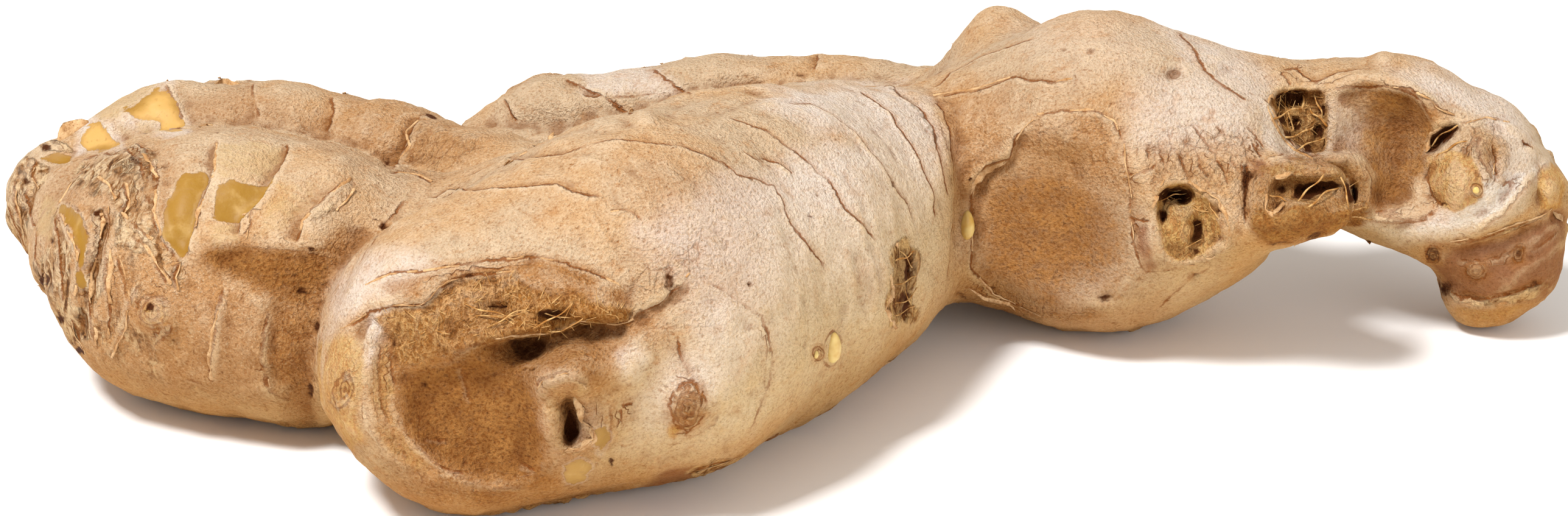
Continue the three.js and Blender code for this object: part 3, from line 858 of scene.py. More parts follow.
flesh_inside = np.full(len(skin.points), -9.0)
seen = np.flatnonzero(skin.seen)
for outline in BARE_FLESH:
    inside = inside_distance(skin.picture[seen], outline) / PIXELS_PER_MM
    flesh_inside[seen] = np.maximum(flesh_inside[seen], inside)
for centre, radius in HIDDEN_FLESH:
    inside = np.where(skin.seen, -9, radius - np.linalg.norm(skin.points - centre, axis=1))
    inside = inside + 2.2 * rough(skin.points, 6.0, 18)
    flesh_inside = np.maximum(flesh_inside, inside)
flesh_inside += 0.12 + 0.35 * rough(skin.points, 2.4, 13) + 0.2 * rough(skin.points, 1.2, 14)
flesh = smoothstep(-0.2, 0.2, flesh_inside)
for name, share in {"scar_and_shade": scar_and_shade, "torn": torn, "bark": bark, "flesh": flesh}.items():
    print("mean share of", name, round(float(share.mean()), 3))

# %% [markdown]
# ## Rings and creases
# A ginger finger grows in short lengths. Each length ends in a ring, where a papery scale leaf was
# attached: a fine dark line with a thin raised lip. The rings that show are drawn as paths on the skin.
# Where a ring passes out of sight, it goes on round the finger in the plane that crosses the finger
# there. Cracks and folds are paths only.


# %% Paths on the skin
STEP_ALONG_PATH = 10


def on_skin(path):
    """Points of the skin along a picture path, a few pixels apart."""
    path = pairs(path)
    found = []
    for start, end in zip(path[:-1], path[1:]):
        count = max(2, int(np.hypot(*(end - start)) / STEP_ALONG_PATH) + 1)
        for part in np.linspace(0, 1, count, endpoint=False):
            place, normal = skin.at(*(start + part * (end - start)))
            if place is not None:
                found.append((place, normal))
    place, normal = skin.at(*path[-1])
    if place is not None:
        found.append((place, normal))
    return np.array([p for p, _ in found]), np.array([n for _, n in found])


class Lines:
    """The nearest crease at each point: how far off it is, with a sign for the side, how strong it is, and
    the way across it to the - side. It also adds up the relief of all creases."""

    REACH = 4.0
    LINE_REACH = 1.4

    def __init__(self, count):
        self.offset = np.full(count, self.REACH)
        self.strength = np.zeros(count)
        self.toward = np.zeros((count, 3))
        self.relief = np.zeros(count)

    def keep(self, who, signed, strength, lip, drop, toward):
        """Adds a line's relief: a lip on the + side, a groove, and a soft drop on the - side."""
        distance = np.abs(signed)
        raised = lip * np.exp(-((signed / np.where(signed > 0, 0.9, 0.2)) ** 2))
        groove = (0.06 + 0.3 * drop) * np.exp(-((signed / 0.3) ** 2))
        below = np.where(signed < 0, np.exp(signed / 1.6) * (1 - np.exp(signed / 0.15)), 0)
        self.relief[who] += strength * (raised - groove - drop * below)
        nearer = distance < np.abs(self.offset[who])
        self.offset[who[nearer]] = signed[nearer]
        shown = strength * (1 - smoothstep(0.7 * self.LINE_REACH, self.LINE_REACH, distance))
        self.strength[who[nearer]] = shown[nearer]
        self.toward[who[nearer]] = toward[nearer]


lines = Lines(len(skin.points))
papery = []


def draw(path, strength=1.0, lip=0.3, drop=0.15, paper=0.0, wander=0.25, seed=0):
    """Draws a crease along a picture path. The lip is on the right-hand side when walking the path. With
    paper, a ragged edge that many millimetres wide is to stand out from it over the left-hand side."""
    places, normals = on_skin(path)
    if len(places) < 2:
        return
    if paper:
        papery.append((path, paper, seed))
    near = np.all((skin.points > places.min(0) - 4) & (skin.points < places.max(0) + 4), axis=1)
    who = np.flatnonzero(near)
    here = skin.points[who]
    best = np.full(len(who), np.inf)
    signed = np.zeros(len(who))
    share = np.zeros(len(who))
    across = np.zeros((len(who), 3))
    for i in range(len(places) - 1):
        leg = places[i + 1] - places[i]
        part = np.clip(((here - places[i]) @ leg) / max(leg @ leg, 1e-9), 0, 1)
        offset = here - places[i] - part[:, None] * leg
        away = np.linalg.norm(offset, axis=1)
        closer = away < best
        best[closer] = away[closer]
        right_hand = np.cross(leg, normals[i])
        right_hand /= max(np.linalg.norm(right_hand), 1e-9)
        signed[closer] = (away * np.sign(offset @ right_hand))[closer]
        share[closer] = ((i + part) / (len(places) - 1))[closer]
        across[closer] = -right_hand
    within = best < Lines.REACH
    who, signed, share, across = who[within], signed[within], share[within], across[within]
    signed = signed + wander * rough(skin.points[who], 2.5, 20 + seed)
    ends = smoothstep(0, 0.1, share) * smoothstep(0, 0.1, 1 - share)
    uneven = 0.65 + 0.5 * rough(skin.points[who], 4.0, 30 + seed)
    fade = 1 - smoothstep(0.7 * Lines.REACH, Lines.REACH, np.abs(signed))
    lines.keep(who, signed, strength * ends * np.clip(uneven, 0.1, 1) * fade, lip, drop, across)


def ring_on(number, middle, normal, reach, strength, lip, drop, seed):
    """Goes on with a ring round finger `number` where it is out of sight, in the plane through `middle`."""
    signed = (skin.points - middle) @ normal
    close = (np.abs(signed) < Lines.REACH + 1.5) & (np.linalg.norm(skin.points - middle, axis=1) < reach)
    who = np.flatnonzero(close & (finger == number) & ~skin.seen)
    signed = signed[who] + 0.9 * rough(skin.points[who], 7.0, 40 + seed)
    signed = signed + 0.25 * rough(skin.points[who], 2.0, 50 + seed)
    uneven = 0.6 + 0.5 * rough(skin.points[who], 5.0, 60 + seed)
    within = np.abs(signed) < Lines.REACH
    fade = 1 - smoothstep(0.7 * Lines.REACH, Lines.REACH, np.abs(signed))
    weight = (strength * np.clip(uneven, 0.1, 1) * fade)[within]
    across = np.broadcast_to(-normal, (int(within.sum()), 3))
    lines.keep(who[within], signed[within], weight, lip, drop, across)


def ring(path, strength=0.9, lip=0.3, drop=0.15, paper=0.3, seed=0):
    """Draws a ring: along its path where it shows, and on round its finger where it doesn't."""
    draw(path, strength, lip, drop, paper, seed=seed)
    places, _ = on_skin(path)
    middle_index = len(places) // 2
    number, _, _, way = (value[0] for value in growth(places[middle_index][None]))
    chord = places[-1] - places[0]
    chord /= np.linalg.norm(chord)
    normal = way - (way @ chord) * chord
    normal /= np.linalg.norm(normal)
    spots = pairs(path)
    if normal @ np.cross(chord, skin.at(*spots[len(spots) // 2])[1]) < 0:
        normal = -normal
    stations = np.array(list(FINGERS.values())[number], float)
    radius = stations[:, 3].max()
    ring_on(number, places[middle_index], normal, 2.2 * radius, strength, lip, drop, seed)


# %% Draw the rings
# Each row is a path, how deep the skin drops beyond the ring, and the width of its papery edge.
RINGS = [
    # Rings of the front finger
    ([1100, 236, 1192, 267, 1211, 286, 1272, 305, 1299, 370, 1368, 454], 0.08, 0.0),
    ([1188, 190, 1265, 217, 1330, 267, 1360, 293, 1387, 343, 1448, 404], 0.08, 0.0),
    ([1284, 171, 1330, 175, 1368, 194, 1399, 219, 1437, 261, 1490, 336, 1500, 370], 0.3, 0.0),
    ([1402, 144, 1433, 161, 1464, 186, 1502, 248, 1529, 313, 1532, 370], 0.08, 0.0),
    ([1456, 138, 1517, 182, 1536, 213, 1555, 330], 0.08, 0.0),
    # Rings of the left front finger
    ([487, 404, 496, 363, 536, 323, 578, 292], 0.35, 0.5),
    ([393, 395, 397, 363, 429, 328, 473, 247, 471, 229], 0.6, 0.7),
    ([308, 428, 333, 332, 353, 279, 357, 229], 0.6, 0.8),
    ([295, 430, 268, 395, 254, 350, 259, 292, 241, 252], 0.5, 0.7),
    ([350, 631, 344, 596, 355, 515, 368, 466], 0.35, 0.5),
    ([446, 636, 429, 591, 435, 546, 442, 506], 0.4, 0.5),
    # Rings of the left back finger
    ([304, 212, 290, 170, 270, 140], 0.4, 0.5),
    ([425, 195, 418, 160, 413, 126], 0.15, 0.0),
    ([534, 218, 548, 180, 545, 138], 0.15, 0.0),
    ([645, 285, 665, 230, 690, 186], 0.5, 0.6),
    # Rings of the back finger
    ([1045, 195, 1010, 170, 970, 145, 925, 126], 0.35, 0.45),
    ([1137, 161, 1095, 130, 1063, 103], 0.08, 0.0),
    ([1337, 118, 1342, 100, 1341, 86], 0.5, 0.0),
    ([850, 200, 830, 165, 822, 145], 0.08, 0.0),
    # Rings of the bulb
    ([1525, 151, 1562, 118, 1602, 98, 1709, 61], 0.08, 0.0),
    ([1533, 157, 1602, 147, 1660, 127, 1725, 135, 1762, 129], 0.3, 0.4),
    ([2051, 171, 1982, 122, 1950, 70, 1913, 31], 0.08, 0.0),
    # Rings of the hooked finger
    ([2383, 396, 2436, 388, 2528, 356, 2549, 342], 0.6, 0.5),
    ([2391, 424, 2436, 428, 2531, 405, 2566, 375], 0.3, 0.0),
    ([2360, 466, 2398, 489, 2436, 492, 2493, 481, 2543, 462], 0.5, 0.0),
]
for seed, (path, drop, paper) in enumerate(RINGS):
    ring(path, 1.0 if drop > 0.3 else 0.8, 0.08 + 0.4 * drop, drop, paper, seed)

HIDDEN_RING_SPACING = 7.5
rng = np.random.default_rng(7)
for number, stations in enumerate(FINGERS.values()):
    stations = np.array(stations, float)
    for start, end in zip(stations[:-1], stations[1:]):
        leg = end[:3] - start[:3]
        length = np.linalg.norm(leg)
        for part in np.arange(rng.uniform(1, 4), length, HIDDEN_RING_SPACING) / length:
            normal = leg / length + rng.normal(0, 0.12, 3)
            normal /= np.linalg.norm(normal)
            radius = start[3] + part * (end[3] - start[3])
            drop = rng.uniform(0.15, 0.5)
            centre = start[:3] + part * leg
            ring_on(number, centre, normal, 1.7 * radius, 0.9, 0.3, drop, int(100 * part) + number)

# %% The cracks and folds
CRACKS = [
    ([706, 320, 716, 326, 735, 313, 917, 305, 939, 316, 1000, 328], 1.0, 0.25, 0.5),
    ([1003, 345, 1030, 345, 1052, 362], 1.0, 0.25, 0.6),
    ([750, 293, 850, 260, 1006, 230, 1051, 231, 1118, 243, 1185, 268, 1207, 282], 0.6, 0.15, 0.35),
    (UPPER_CRACK, 0.9, 0.2, 0.4), (LOWER_CRACK, 0.9, 0.2, 0.5),
    ([1135, 450, 1085, 498, 1032, 530, 1010, 533, 953, 526, 899, 546, 800, 556], 1.0, 0.2, 0.5),
    ([1155, 455, 1250, 520, 1262, 550, 1268, 590, 1265, 620, 1235, 690, 1210, 715], 0.6, 0.08, 0.0),
    ([1240, 540, 1250, 590, 1245, 640], 0.25, 0.05, 0.0),
    ([1224, 250, 1236, 258, 1252, 268], 1.0, 0.2, 0.3), ([1252, 258, 1284, 267, 1303, 286], 1.0, 0.2, 0.3),
    ([672, 320, 629, 372, 585, 440], 0.5, 0.1, 0.0),
    ([650, 660, 655, 695, 680, 728, 712, 758, 752, 781, 800, 797, 860, 801, 900, 793], 0.5, 0.15, 0.3),
    ([604, 550, 600, 600, 602, 660, 612, 710, 640, 752], 0.4, 0.15, 0.3),
    ([625, 560, 622, 610, 628, 670, 650, 715], 0.5, 0.15, 0.3),
    ([640, 540, 645, 600, 650, 640], 0.5, 0.15, 0.3),
    ([548, 548, 536, 580, 532, 620, 540, 670, 560, 710], 0.4, 0.1, 0.0),
    ([592, 560, 590, 620, 586, 670, 576, 700], 0.4, 0.1, 0.2),
    ([700, 600, 740, 592, 768, 570, 810, 557], 0.5, 0.1, 0.3), ([700, 716, 735, 722], 0.6, 0.0, 0.0),
    ([714, 758, 740, 770, 762, 774], 0.9, 0.0, 0.3), ([855, 760, 880, 772], 0.8, 0.0, 0.3),
    ([760, 600, 768, 640, 776, 662], 0.5, 0.1, 0.3),
    ([884, 640, 890, 625, 930, 613, 952, 620, 964, 640], 0.7, 0.2, 0.5),
    ([948, 655, 960, 672, 958, 692], 1.0, 0.2, 0.6),
    ([958, 694, 975, 704, 976, 722, 955, 738, 926, 742], 0.9, 0.2, 0.7),
    ([1000, 655, 1006, 690, 1002, 720, 990, 745], 0.6, 0.15, 0.2), ([1020, 666, 1040, 668], 0.9, 0.1, 0.2),
    ([1018, 670, 1024, 700], 0.6, 0.1, 0.0),
    ([1106, 548, 1124, 600, 1140, 622, 1152, 652, 1147, 690, 1118, 722], 0.8, 0.08, 0.0),
    ([1140, 776, 1170, 765, 1200, 755, 1225, 745], 1.0, 0.2, 0.5),
    ([1098, 735, 1150, 710, 1180, 690], 0.3, 0.1, 0.0),
    ([282, 436, 297, 430, 287, 455, 292, 480], 1.0, 0.3, 0.6),
    ([233, 465, 210, 512, 206, 538, 182, 590], 0.6, 0.25, 0.5),
    ([284, 528, 275, 545, 264, 562, 254, 582], 0.6, 0.25, 0.4),
    ([84, 342, 95, 365, 101, 400, 104, 500], 1.0, 0.25, 1.1),
    ([96, 345, 124, 400, 128, 430, 122, 490], 0.9, 0.25, 1.0),
    ([100, 325, 130, 345, 144, 370, 148, 400, 144, 430, 134, 448], 0.8, 0.25, 0.9),
    ([166, 345, 168, 380, 150, 450, 148, 490, 158, 570], 1.0, 0.25, 1.2),
    ([176, 340, 184, 370, 176, 460, 182, 510, 176, 550], 0.8, 0.25, 1.0),
    ([52, 300, 44, 320, 62, 380, 60, 420, 92, 520], 0.9, 0.25, 1.0),
    ([30, 290, 26, 330, 34, 370, 46, 405], 0.9, 0.25, 0.9),
    ([14, 330, 22, 366, 38, 398, 50, 420], 0.8, 0.25, 0.4), ([60, 262, 52, 290, 66, 310], 0.8, 0.25, 0.4),
    ([200, 240, 230, 262, 236, 300, 246, 340], 0.8, 0.25, 0.9),
    ([222, 232, 250, 262, 256, 300], 0.8, 0.25, 0.8),
    ([215, 390, 240, 405, 262, 440, 280, 470], 0.8, 0.25, 0.8),
    ([195, 345, 222, 370, 250, 395], 0.8, 0.2, 0.8), ([130, 270, 160, 255, 200, 250], 0.8, 0.25, 0.7),
    ([196, 420, 206, 460, 216, 500], 0.7, 0.2, 0.7), ([118, 520, 124, 550, 140, 580], 0.8, 0.2, 0.8),
    ([205, 300, 212, 330, 200, 360], 0.7, 0.2, 0.8), ([160, 290, 180, 305, 190, 330], 0.6, 0.2, 0.7),
    ([560, 425, 490, 412, 400, 404, 342, 412, 335, 425], 0.5, 0.08, 0.0),
    ([583, 296, 579, 312, 568, 330, 552, 350], 0.7, 0.3, 0.5),
    ([398, 352, 412, 348, 412, 370, 402, 392], 0.6, 0.2, 0.4),
    ([655, 262, 672, 240, 668, 215, 690, 195], 0.8, 0.25, 0.6),
    ([640, 285, 660, 283, 690, 288, 712, 300], 1.0, 0.2, 0.5),
    ([690, 186, 705, 190, 716, 196], 1.0, 0.1, 0.3), ([300, 622, 330, 628, 345, 636], 0.4, 0.1, 0.2),
    ([255, 630, 270, 645, 300, 655], 0.4, 0.1, 0.2),
    ([432, 605, 437, 630, 452, 645, 480, 655], 0.5, 0.15, 0.3),
    ([955, 152, 985, 158, 1005, 168, 1040, 196], 0.8, 0.2, 0.4),
    ([1003, 162, 1040, 158, 1080, 152], 0.5, 0.1, 0.2),
    ([1530, 150, 1550, 180, 1562, 213, 1568, 270, 1568, 330, 1553, 470], 1.0, 0.05, 0.0),
    ([1845, 236, 1860, 325, 1858, 352], 0.6, 0.2, 0.4), ([1856, 358, 1872, 361, 1895, 365], 0.9, 0.1, 0.2),
    ([1859, 364, 1864, 400, 1874, 430, 1880, 446], 0.9, 0.2, 0.4),
    ([1893, 365, 1898, 400, 1900, 440], 0.3, 0.1, 0.0),
    ([1850, 292, 1868, 284, 1885, 280, 1900, 268], 0.8, 0.2, 0.4),
    ([1876, 449, 1921, 443, 1950, 441], 0.4, 0.15, 0.0),
    ([1900, 510, 1929, 482, 1960, 455, 1990, 440], 0.8, 0.1, 0.0), (BULB_SCAR_EDGE, 0.8, 0.2, 0.5),
    ([1582, 470, 1623, 490, 1664, 500, 1668, 516], 0.5, 0.2, 0.4),
    ([1700, 190, 1745, 180, 1800, 182, 1830, 200, 1845, 235], 0.6, 0.25, 0.5),
    ([2048, 262, 2050, 290, 2046, 330, 2050, 370], 1.0, 0.05, 0.0),
    ([2075, 262, 2110, 256, 2180, 262, 2225, 252], 0.8, 0.2, 0.5),
    ([2155, 135, 2193, 120, 2242, 112], 0.9, 0.2, 0.3),
    ([2104, 116, 2130, 108, 2147, 125, 2172, 140], 0.7, 0.1, 0.2), ([2104, 116, 2120, 140], 0.7, 0.1, 0.0),
    ([2390, 190, 2362, 178, 2348, 164, 2315, 146, 2280, 142], 0.9, 0.15, 0.4),
    ([2350, 359, 2284, 363, 2240, 361], 0.9, 0.15, 0.3), ([2252, 346, 2290, 346, 2306, 342], 0.9, 0.1, 0.0),
    ([2352, 262, 2346, 290, 2356, 322, 2376, 342], 0.9, 0.1, 0.3),
    ([2430, 222, 2432, 262, 2446, 290, 2460, 300], 0.8, 0.2, 0.5),
    ([2448, 236, 2456, 262, 2454, 292], 1.0, 0.2, 0.4), ([2412, 205, 2420, 232, 2410, 258], 0.8, 0.2, 0.5),
    ([2546, 262, 2512, 300, 2470, 352, 2420, 384], 0.5, 0.15, 0.3),
    ([2400, 205, 2440, 192, 2480, 200], 0.6, 0.2, 0.4), ([2500, 230, 2520, 245], 0.8, 0.1, 0.3),
    ([2465, 305, 2482, 296, 2478, 310], 0.8, 0.1, 0.3),
    ([2070, 158, 2090, 182, 2112, 228, 2135, 248, 2180, 264], 0.9, 0.15, 0.4),
    ([2545, 352, 2472, 381, 2392, 398], 0.9, 0.1, 0.3),
]
CRACKS += [(path, 0.6, 0.12, 0.0) for path in PIT_RIDGES]
CRACKS += [
    ([2186, 155, 2210, 145, 2280, 142, 2312, 152, 2336, 168, 2360, 204], 1.0, 0.1, 0.0),
    ([2252, 349, 2291, 357, 2333, 356, 2362, 345], 1.0, 0.1, 0.0),
    ([2238, 268, 2250, 292, 2254, 325], 0.6, 0.05, 0.0),
]


def ellipse(centre, radii, lean=0):
    """A closed path round a picture point."""
    turn = math.radians(lean)
    way = np.linspace(0, 2 * math.pi, 15)
    across, down = radii[0] * np.cos(way), radii[1] * np.sin(way)
    right = centre[0] + across * math.cos(turn) - down * math.sin(turn)
    return np.stack([right, centre[1] + across * math.sin(turn) + down * math.cos(turn)], axis=1)


ROUND_CREASES = [
    ((1128, 666), (28, 40), 8, 0.9), ((1129, 668), (19, 27), 8, 0.8), ((1131, 669), (12, 17), 8, 0.8),
    ((1132, 670), (6, 9), 8, 0.9), ((254, 511), (25, 27), 0, 0.6), ((2354, 415), (13, 14), 0, 0.9),
    ((2426, 443), (17, 15), 0, 0.8), ((2497, 417), (12, 16), 15, 0.9), ((2425, 312), (9, 9), 0, 0.6),
    ((560, 655), (14, 16), 0, 0.5), ((573, 617), (10, 9), 0, 0.6), ((1341, 580), (9, 11), 0, 0.4),
    ((1367, 574), (16, 31), 5, 0.5),
]
CRACKS += [(ellipse(*shape), strength, 0.1, 0.25) for *shape, strength in ROUND_CREASES]
CRACK_SEED = 100
NARROW_PAPER = 0.35
for seed, (path, strength, lip, paper) in enumerate(CRACKS):
    draw(
        path, strength, lip, 0.5 * lip, 0.75 * paper if paper > NARROW_PAPER else 0.0,
        seed=CRACK_SEED + seed
    )
print("points within half a millimetre of a line:", int((np.abs(lines.offset) < 0.5).sum()))

# %% [markdown]
# ## Buds, root scars and pits
# Round marks sit on the rings: buds with a papery collar, pale dots where thin roots broke off, and small
# rotten pits. Each is a dome or a dimple with rings round it, and a brown stain.

# %% Round marks
relief = lines.relief.copy()
stain_and_shade = np.zeros(len(skin.points))


def how_far_out(centre, radii, lean=0):
    """0 at a mark's centre, 1 at its edge. Two numbers are a picture point, three a place."""
    out = np.full(len(skin.points), 9.0)
    if len(centre) == 2:
        out[seen] = round_distance(skin.picture[seen], centre, radii, lean)
    else:
        away = np.linalg.norm(skin.points - centre, axis=1) / radii[0]
        out[~skin.seen] = away[~skin.seen]
    return out


mark_waver = 0.16 * rough(skin.points, 1.2, 70)


def mark(centre, radii, height, dark, lean=0, rings=0):
    """A round mark: a dome, or a pit if the height is negative, with ring waves and a stain."""
    out = how_far_out(centre, radii, lean) + mark_waver
    close = np.flatnonzero(out < 3)
    out = out[close]
    relief[close] += height * np.exp(-(out**2))
    if rings:
        wave = np.cos(2 * math.pi * rings * out) * (1 - smoothstep(0.8, 1.5, out))
        relief[close] += 0.2 * wave
        stain_and_shade[close] = np.maximum(stain_and_shade[close], 0.3 * smoothstep(0.2, -0.6, wave) * (out < 1.3))
    stain_and_shade[close] = np.maximum(stain_and_shade[close], dark * (1 - smoothstep(0.7, 1.15, out)))


# Each row is a centre, radii, height and darkness, with a lean or rings where it has them.
MARKS = [
    ((1131, 668), (34, 46), 0.3, 0.0, 10), ((1132, 670), (5, 8), -0.3, 0.5),
    ((254, 511), (34, 38), 0.3, 0.0), ((250, 503), (8, 6), -0.3, 0.9), ((573, 617), (12, 10), 0.2, 0.3),
    ((555, 660), (18, 16), 0.2, 0.3), ((1100, 464), (11, 22), -0.5, 0.6, -15),
    ((1341, 580), (11, 13), 0.1, 0.3), ((1232, 467), (4, 4), -0.4, 0.6), ((1330, 355), (4, 4), -0.3, 0.6),
    ((1467, 303), (4, 4), -0.3, 0.6), ((1343, 318), (3, 3), -0.3, 0.5), ((1060, 199), (22, 8), 0.8, 0.1),
    ((629, 370), (8, 6), -0.5, 0.95), ((616, 360), (5, 3), 0.0, 0.7, 30), ((497, 478), (8, 6), -0.4, 0.8),
    ((512, 410), (12, 5), -0.3, 0.7), ((500, 425), (6, 4), -0.2, 0.6), ((520, 535), (5, 10), -0.4, 0.8),
    ((466, 455), (4, 3), -0.2, 0.4), ((510, 640), (5, 12), -0.3, 0.7), ((92, 528), (8, 8), -0.4, 1.0),
    ((130, 577), (9, 6), -0.3, 1.0, 30), ((72, 460), (6, 12), -0.4, 1.0), ((86, 395), (6, 6), -0.3, 0.7),
    ((160, 352), (7, 6), -0.3, 0.8), ((330, 352), (3, 9), -0.2, 0.8), ((326, 372), (3, 7), -0.2, 0.7),
    ((78, 245), (9, 6), -0.2, 0.8), ((92, 238), (8, 5), 0.2, 0.6), ((45, 300), (6, 6), -0.2, 0.7),
    ((220, 262), (12, 6), -0.2, 0.6, 30), ((355, 218), (4, 3), -0.2, 0.6), ((380, 178), (6, 4), -0.2, 0.5),
    ((1315, 124), (9, 4), -0.3, 0.7), ((1285, 143), (9, 3), -0.2, 0.5), ((1341, 84), (14, 8), 0.8, 0.1),
    ((708, 189), (12, 5), -0.2, 0.8, 25), ((635, 262), (5, 7), -0.3, 0.8), ((1794, 84), (6, 5), -0.3, 0.4),
    ((1749, 82), (5, 4), -0.2, 0.3), ((1927, 122), (13, 8), -0.6, 0.3),
    ((1815, 488), (13, 7), -0.3, 0.6, -15), ((1842, 455), (9, 5), -0.2, 0.4, -15),
    ((1592, 296), (5, 8), -0.2, 0.8, 20), ((1632, 476), (8, 4), -0.2, 0.7, 30),
    ((1582, 488), (8, 4), -0.2, 0.6, 30), ((2104, 312), (5, 5), -0.3, 0.9),
    ((2214, 318), (7, 9), -0.3, 0.6), ((2062, 288), (7, 12), -0.2, 0.5), ((2277, 93), (20, 9), 0.4, 0.0),
    ((2354, 415), (14, 14), -0.2, 0.55), ((2426, 443), (16, 14), 0.3, 0.0),
    ((2497, 417), (9, 13), -0.3, 0.5, 15), ((2384, 428), (8, 4), -0.1, 0.4, 30),
    ((2516, 420), (5, 8), -0.1, 0.4), ((2372, 476), (10, 14), -0.2, 0.6),
    ((2520, 472), (16, 8), -0.2, 0.5, -30), ((2376, 336), (8, 4), -0.2, 0.7, 30),
    ((2508, 236), (9, 5), -0.3, 0.5), ((1004, 758), (5, 9), -0.2, 0.7, 15), ((698, 634), (5, 4), -0.2, 0.7),
    ((665, 622), (8, 8), -0.2, 0.4), ((648, 562), (4, 10), -0.3, 0.7), ((820, 503), (20, 5), -0.2, 0.9),
    ((770, 452), (8, 3), -0.2, 0.9), ((905, 516), (26, 9), -0.3, 0.8), ((870, 607), (14, 3), -0.2, 0.6),
    ((892, 628), (4, 8), -0.2, 0.5), ((2160, 388), (16, 7), -0.2, 0.6, -25),
    ((2100, 400), (20, 3), 0.0, 0.5, -8),
    # Marks on the hidden sides
    ((-66, 24, 21), (4,), 0.5, 0.1, 0, 2), ((-30, 44, 14), (4,), 0.6, 0.1, 0, 2),
    ((14, 44, 16), (4,), 0.6, 0.2, 0, 2), ((48, 30, 20), (5,), 0.6, 0.2, 0, 2.5),
    ((88, 12, 22), (3,), 0.4, 0.2, 0, 2), ((30, 22, 4), (5,), 0.5, 0.3, 0, 2.5),
    ((-60, -10, 0), (4,), 0.4, 0.2, 0, 2), ((-25, -38, 1), (5,), 0.4, 0.3, 0, 2.5),
    ((-3, -12, 0), (4,), 0.4, 0.2, 0, 2), ((60, 20, 14), (3,), -0.8, 0.9),
    ((20, 30, 10), (2.5,), -0.7, 0.9), ((-50, 26, 4), (2,), -0.6, 0.9),
]
for row in MARKS:
    mark(*row)

ROOT_CIRCLES = [
    ((1131, 670), (28, 43), 16), ((254, 511), (28, 30)), ((566, 640), (24, 38), 5), ((2354, 418), (17, 18)),
    ((2426, 443), (19, 17)), ((2497, 418), (15, 19), 15), ((2425, 312), (14, 14)), ((1341, 578), (14, 18)),
    ((-66, 24, 21), (3,)), ((-30, 44, 14), (3,)), ((14, 44, 16), (3,)), ((48, 30, 20), (3.5,)),
    ((30, 22, 4), (3.5,)), ((-25, -38, 1), (3.5,)), ((-60, -10, 0), (3,)),
]
circle_out = np.full(len(skin.points), 9.0)
for row in ROOT_CIRCLES:
    circle_out = np.minimum(circle_out, how_far_out(*row))
circle_out += 1.2 * mark_waver

# Painted shade: dark brown painted into the cleft under the flap, the pits and holes, the groove by the
# stub, and the joins where one finger meets another.
SHADED_HOLLOWS = [
    ([830, 556, 850, 550, 905, 548, 905, 566, 892, 592, 876, 602, 850, 600, 838, 580], 0.7, 9),
    ([905, 548, 953, 530, 1030, 537, 960, 543, 905, 560], 0.6, 6), (HOOK_PIT, 1.0, 6),
    ([930, 665, 952, 680, 952, 712, 934, 726, 926, 700], 0.9, 6), (FRONT_PIT, 0.45, 6),
    ([1470, 404, 1502, 410, 1500, 520, 1466, 536, 1464, 440], 0.5, 10),
    ([522, 440, 545, 420, 524, 600, 526, 700, 512, 690, 514, 500], 0.35, 8),
    ([2044, 270, 2056, 290, 2052, 370, 2040, 370, 2038, 300], 0.8, 6),
    ([1550, 190, 1564, 230, 1568, 330, 1560, 470, 1554, 430, 1558, 300], 0.35, 6),
]
SHADED_HOLLOWS += [(outline, 0.9, 5) for outline, _ in PIT_HOLES + STUB_HOLES + VALLEY_HOLES + SIDE_HOLES]
stain_and_shade = np.maximum(stain_and_shade, shares(SHADED_HOLLOWS))
print("stained share", round(float(stain_and_shade.mean()), 3))

# %% [markdown]
# ## The fine relief
# Clean skin is finely wrinkled. Scars are lightly pitted, torn places are tangled with fibres, and bark
# is split into wavy ridges that run round the finger. Where the skin has rubbed off, the flesh lies a
# hair lower. All of it is moved geometry, so it catches the light.


# %% Wrinkles, fibres and scales
def ridged(points, size, seed, octaves=2):
    """Sharp crests and round valleys, from -1 to 1."""
    return 1 - 3.2 * np.abs(rough(points, size, seed, octaves))


warped = skin.points + 1.5 * np.stack([rough(skin.points, 4, seed) for seed in (230, 231, 232)], axis=1)
FINGER_APART = 50.0
wavy_along = along + 1.2 * rough(skin.points, 5, 240)
wavy_around = around + 0.8 * rough(skin.points, 6, 241)
round_the_finger = np.stack([wavy_along, around / 4, finger * FINGER_APART], axis=1)
lengthwise = np.stack([along / 5, wavy_around, finger * FINGER_APART], axis=1)
clean = (1 - scar_and_shade) * (1 - bark) * (1 - torn) * (1 - flesh)
relief += 0.42 * rough(skin.points, 12, 200)
relief += (0.17 + 0.1 * clean) * rough(skin.points, 4.0, 204)
relief += 0.07 * clean * rough(lengthwise, 1.5, 208)
relief += 0.10 * clean * ridged(round_the_finger, 3.0, 209)
relief += scar_and_shade * (0.16 * rough(skin.points, 2.4, 212) + 0.08 * rough(skin.points, 1.1, 216, 2))
hanging = warped * (1.2, 1.2, 0.5)
relief += torn * (0.14 * ridged(hanging, 2.0, 218) + 0.14 * ridged(hanging, 1.0, 220, 1))
relief += bark * (0.24 * ridged(round_the_finger, 1.7, 222) + 0.24 * rough(skin.points, 1.8, 224))
relief += 0.08 * (1 - flesh) * rough(skin.points, 1.7, 226, 2)
relief -= 0.08 * flesh + 0.3 * stain_and_shade * rough(skin.points, 1.4, 228, 2)
skin.push(relief)
skin.points[:, 2] = np.maximum(skin.points[:, 2], 0)
skin.refresh(look=False)
skin.tree = skin.new_tree()
print("fine relief from", round(float(relief.min()), 2), "to", round(float(relief.max()), 2), "mm")

